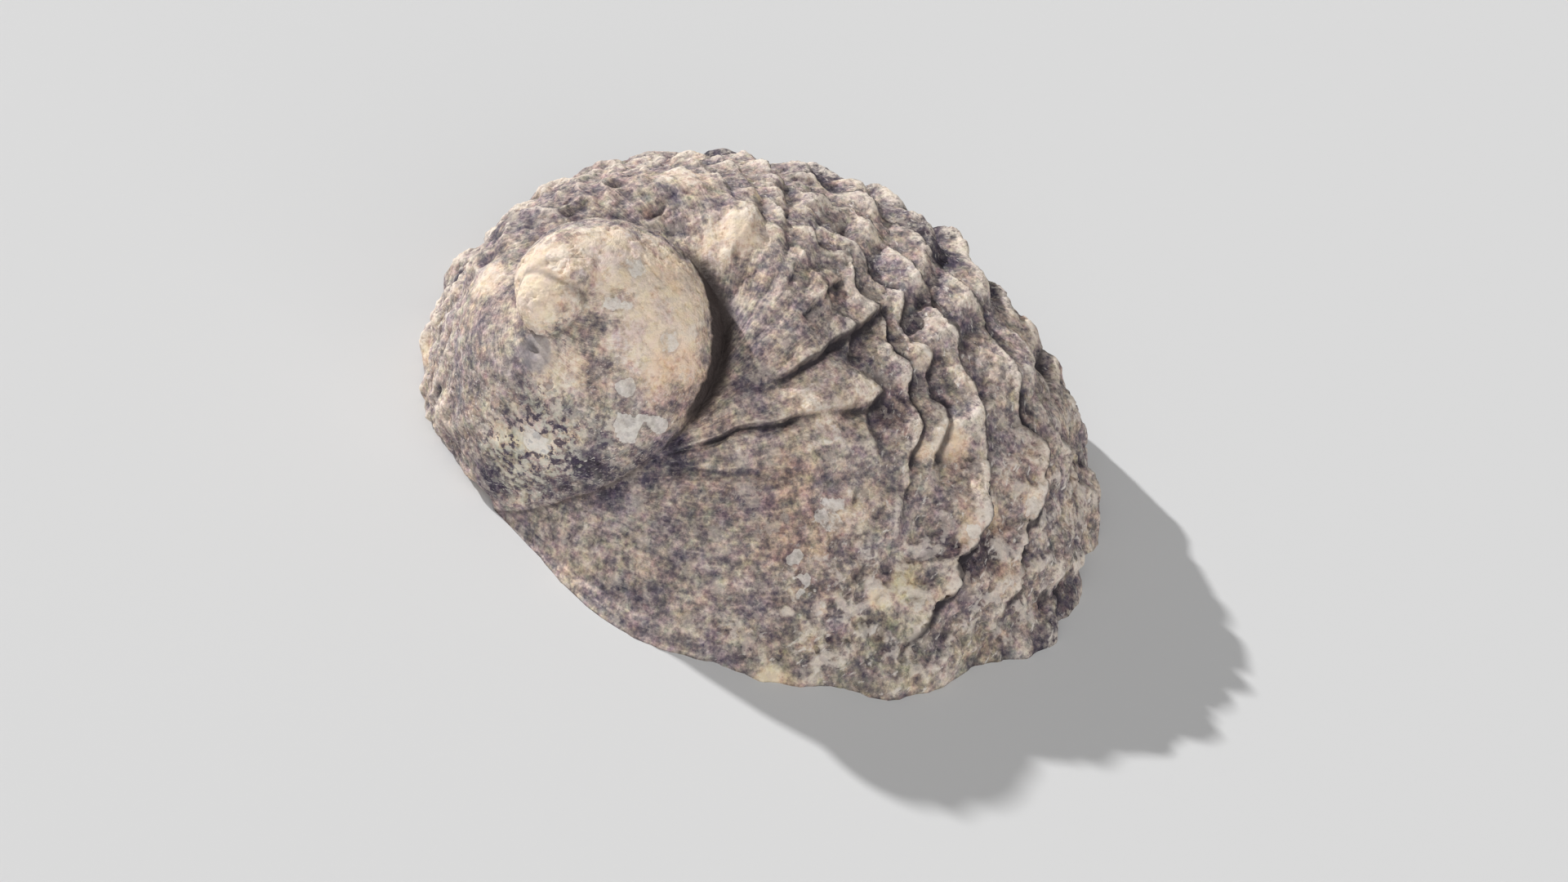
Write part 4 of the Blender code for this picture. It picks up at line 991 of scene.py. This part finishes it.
def stone_finish():
    material = bpy.data.materials.new("fossil_stone")
    material.use_nodes = True
    tree = material.node_tree
    shader = tree.nodes["Principled BSDF"]
    base = Signal(tree)
    place = base.node("ShaderNodeTexCoord", output="Object")
    growth = base.attribute("growth", "Vector")
    carving = base.attribute("carving")
    pale = base.attribute("pale")
    crumples = base.attribute("crumple")
    across = growth.vector_math("MULTIPLY", (46.0, 9.0, 1.0))
    wave = place.noise(260.0, 2.0, 0.5, colour=True).times(1.6)
    streak = across.vector_math("ADD", wave).noise(1.0, 4.0, 0.6)
    broad = place.noise(75.0, 3.0, 0.55)
    mottle = place.noise(310.0, 5.0, 0.62)
    speck = place.noise(1150.0, 3.0, 0.65)
    paleness = pale.clamped(0.1, 0.9)
    plain = growth.part(1).clamped(0.55, 0.75)

    tone = 0.59 + (broad - 0.5) * 0.35 + (mottle - 0.5) * 0.75 + (speck - 0.5) * 0.95
    tone = tone + (streak - 0.5) * (0.16 + 0.40 * plain) + pale * 0.56
    # Painted light on crests and raised crumples, painted shade in hollows
    tone = tone + carving.limited(-0.5, 0.7) * 0.30 + crumples * 0.16
    stops = [
        (0.0, tint(40, 36, 44)), (0.28, tint(86, 78, 88)), (0.42, tint(122, 112, 113)),
        (0.53, tint(150, 137, 132)), (0.66, tint(188, 171, 160)), (0.82, tint(228, 209, 190)),
        (1.0, tint(248, 238, 224)),
    ]
    colour = base.node("ShaderNodeValToRGB", {"stops": stops}, {"Fac": tone})

    hue = place.noise(150.0, 4.0, 0.6)
    cool = hue.clamped(0.50, 0.36) * 0.8
    warm = hue.clamped(0.52, 0.66) * 0.6
    colour = cool.blend("MULTIPLY", colour, tint(240, 240, 255))
    colour = warm.blend("MULTIPLY", colour, tint(255, 243, 234))
    colour = paleness.blend("MULTIPLY", colour, tint(255, 243, 230))
    grains = place.noise(520.0, 4.0, 0.65, colour=True)
    colour = (0.12 + 0.30 * mottle).blend("OVERLAY", colour, grains)
    brown = base.attribute("brown") * 0.8
    colour = brown.blend("MULTIPLY", colour, tint(255, 232, 216))
    green = base.attribute("green") * 0.8
    colour = green.blend("MULTIPLY", colour, tint(246, 252, 230))

    spotted = base.attribute("spotted")
    blotch = place.noise(230.0, 5.0, 0.65).clamped(0.57, 0.61) * (0.38 + 0.30 * spotted)
    colour = blotch.mix(colour, tint(216, 202, 190))
    slate = place.noise(420.0, 4.0, 0.62).clamped(0.57, 0.61) * (0.36 - 0.28 * paleness + 0.55 * spotted)
    colour = slate.mix(colour, tint(84, 76, 92))
    dots = place.noise(820.0, 2.0, 0.5)
    colour = (dots.clamped(0.50, 0.40) * spotted * 0.6).mix(colour, tint(226, 222, 206))
    colour = (dots.clamped(0.56, 0.60) * (0.12 + 0.75 * spotted)).mix(colour, tint(72, 62, 80))
    along = growth.vector_math("MULTIPLY", (40.0, 110.0, 1.0)).vector_math("ADD", wave)
    fleck = along.noise(1.0, 4.0, 0.6).clamped(0.58, 0.70) * (0.80 - 0.60 * plain) * (1.0 - 0.7 * paleness)
    colour = fleck.mix(colour, tint(238, 230, 222))
    colour = base.attribute("blue_grey").mix(colour, tint(158, 152, 154))
    flake_edge = base.attribute("flake")
    under_flake = flake_edge.clamped(0.05, 0.25) * 0.18
    colour = under_flake.mix(colour, tint(78, 70, 74))
    flake = (flake_edge + (mottle - 0.5) * 0.8).clamped(0.40, 0.50) * 0.6
    flake_grain = (mottle * 0.6 + speck * 0.4).clamped(0.32, 0.60)
    flake_tone = flake_grain.mix(tint(214, 204, 194), tint(254, 250, 244))
    colour = flake.mix(colour, flake_tone)

    # Painted highlight on the crests of the relief
    painted_crest_highlight = (carving + (mottle - 0.5) * 0.8).clamped(0.15, 0.60) * speck.clamped(0.30, 0.60) * 0.7
    colour = painted_crest_highlight.mix(colour, tint(240, 228, 214))
    # Painted highlight on the tops of the crumples
    painted_fold_highlight = (crumples + (speck - 0.5) * 0.6).clamped(0.22, 0.55) * 0.5
    colour = painted_fold_highlight.mix(colour, tint(232, 222, 212))
    # Painted shade along each ledge and at the foot of its trough
    painted_ledge_shade = base.attribute("ledge").clamped(0.30, 0.95) * 0.85
    colour = painted_ledge_shade.mix(colour, tint(60, 54, 58))
    # Painted shade in the hollows of the relief
    hollow = (0.0 - carving).clamped(0.15, 0.62) * (0.8 - 0.6 * paleness)
    colour = hollow.mix(colour, tint(48, 43, 48))
    # Painted shade in the crease round the first whorl
    colour = base.attribute("crease").mix(colour, tint(92, 80, 78))
    # Painted shade in the step round the spire
    colour = base.attribute("crevice").mix(colour, tint(72, 63, 61))
    tree.links.new(colour.socket, shader.inputs["Base Color"])
    shader.inputs["Roughness"].default_value = STONE_ROUGHNESS
    shader.inputs["Specular IOR Level"].default_value = STONE_SPECULAR
    height = speck * 0.45 + mottle + streak * 0.15
    grain = {"Height": height, "Strength": GRAIN_STRENGTH, "Distance": GRAIN_HEIGHT * MM}
    bump = base.node("ShaderNodeBump", {}, grain)
    tree.links.new(bump.socket, shader.inputs["Normal"])
    return material


def flat_finish(name, colour, roughness):
    material = bpy.data.materials.new(name)
    material.use_nodes = True
    shader = material.node_tree.nodes["Principled BSDF"]
    shader.inputs["Base Color"].default_value = colour
    shader.inputs["Roughness"].default_value = roughness
    return material


def aim(item, right, up, back, at):
    """Stand an item at a place with its own axes along the three given directions."""
    turn = Matrix((right, up, back)).transposed()
    item.matrix_world = Matrix.Translation(Vector(at)) @ turn.to_4x4()


def make_stage():
    mesh = bpy.data.meshes.new("floor")
    corners = [(x * FLOOR_HALF, y * FLOOR_HALF, 0) for x, y in ((-1, -1), (1, -1), (1, 1), (-1, 1))]
    mesh.from_pydata(corners, [], [(0, 1, 2, 3)])
    mesh.materials.append(flat_finish("floor_paper", tint(222, 222, 222), 1.0))
    floor = bpy.data.objects.new("floor", mesh)
    bpy.context.scene.collection.objects.link(floor)
    world = bpy.data.worlds.new("studio")
    bpy.context.scene.world = world
    world.use_nodes = True
    world.node_tree.nodes["Background"].inputs["Color"].default_value = (1.0, 1.0, 1.0, 1.0)
    world.node_tree.nodes["Background"].inputs["Strength"].default_value = WORLD_STRENGTH
    right = Vector(CAMERA_RIGHT)
    up = Vector(CAMERA_UP)
    away = Vector(CAMERA_BACK)
    for name, power, spread, toward in LIGHTS:
        light = bpy.data.lights.new(name, "SUN")
        light.energy = power
        light.angle = np.radians(spread)
        lamp = bpy.data.objects.new(name, light)
        bpy.context.scene.collection.objects.link(lamp)
        direction = toward[0] * right + toward[1] * up + toward[2] * away
        lamp.rotation_mode = "QUATERNION"
        lamp.rotation_quaternion = direction.to_track_quat("Z", "Y")
    camera = bpy.data.cameras.new("camera")
    camera.lens = CAMERA_LENS
    camera.sensor_width = CAMERA_SENSOR
    camera.clip_start = 0.01
    view = bpy.data.objects.new("camera", camera)
    bpy.context.scene.collection.objects.link(view)
    aim(view, right, up, away, CAMERA_AT)
    bpy.context.scene.camera = view


make_stage()
bpy.context.scene.view_settings.view_transform = "Standard"
shell = make_shell()
crumple(shell)
slim(shell)
shell.data.materials.append(stone_finish())
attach(shell, "root")
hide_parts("shell")
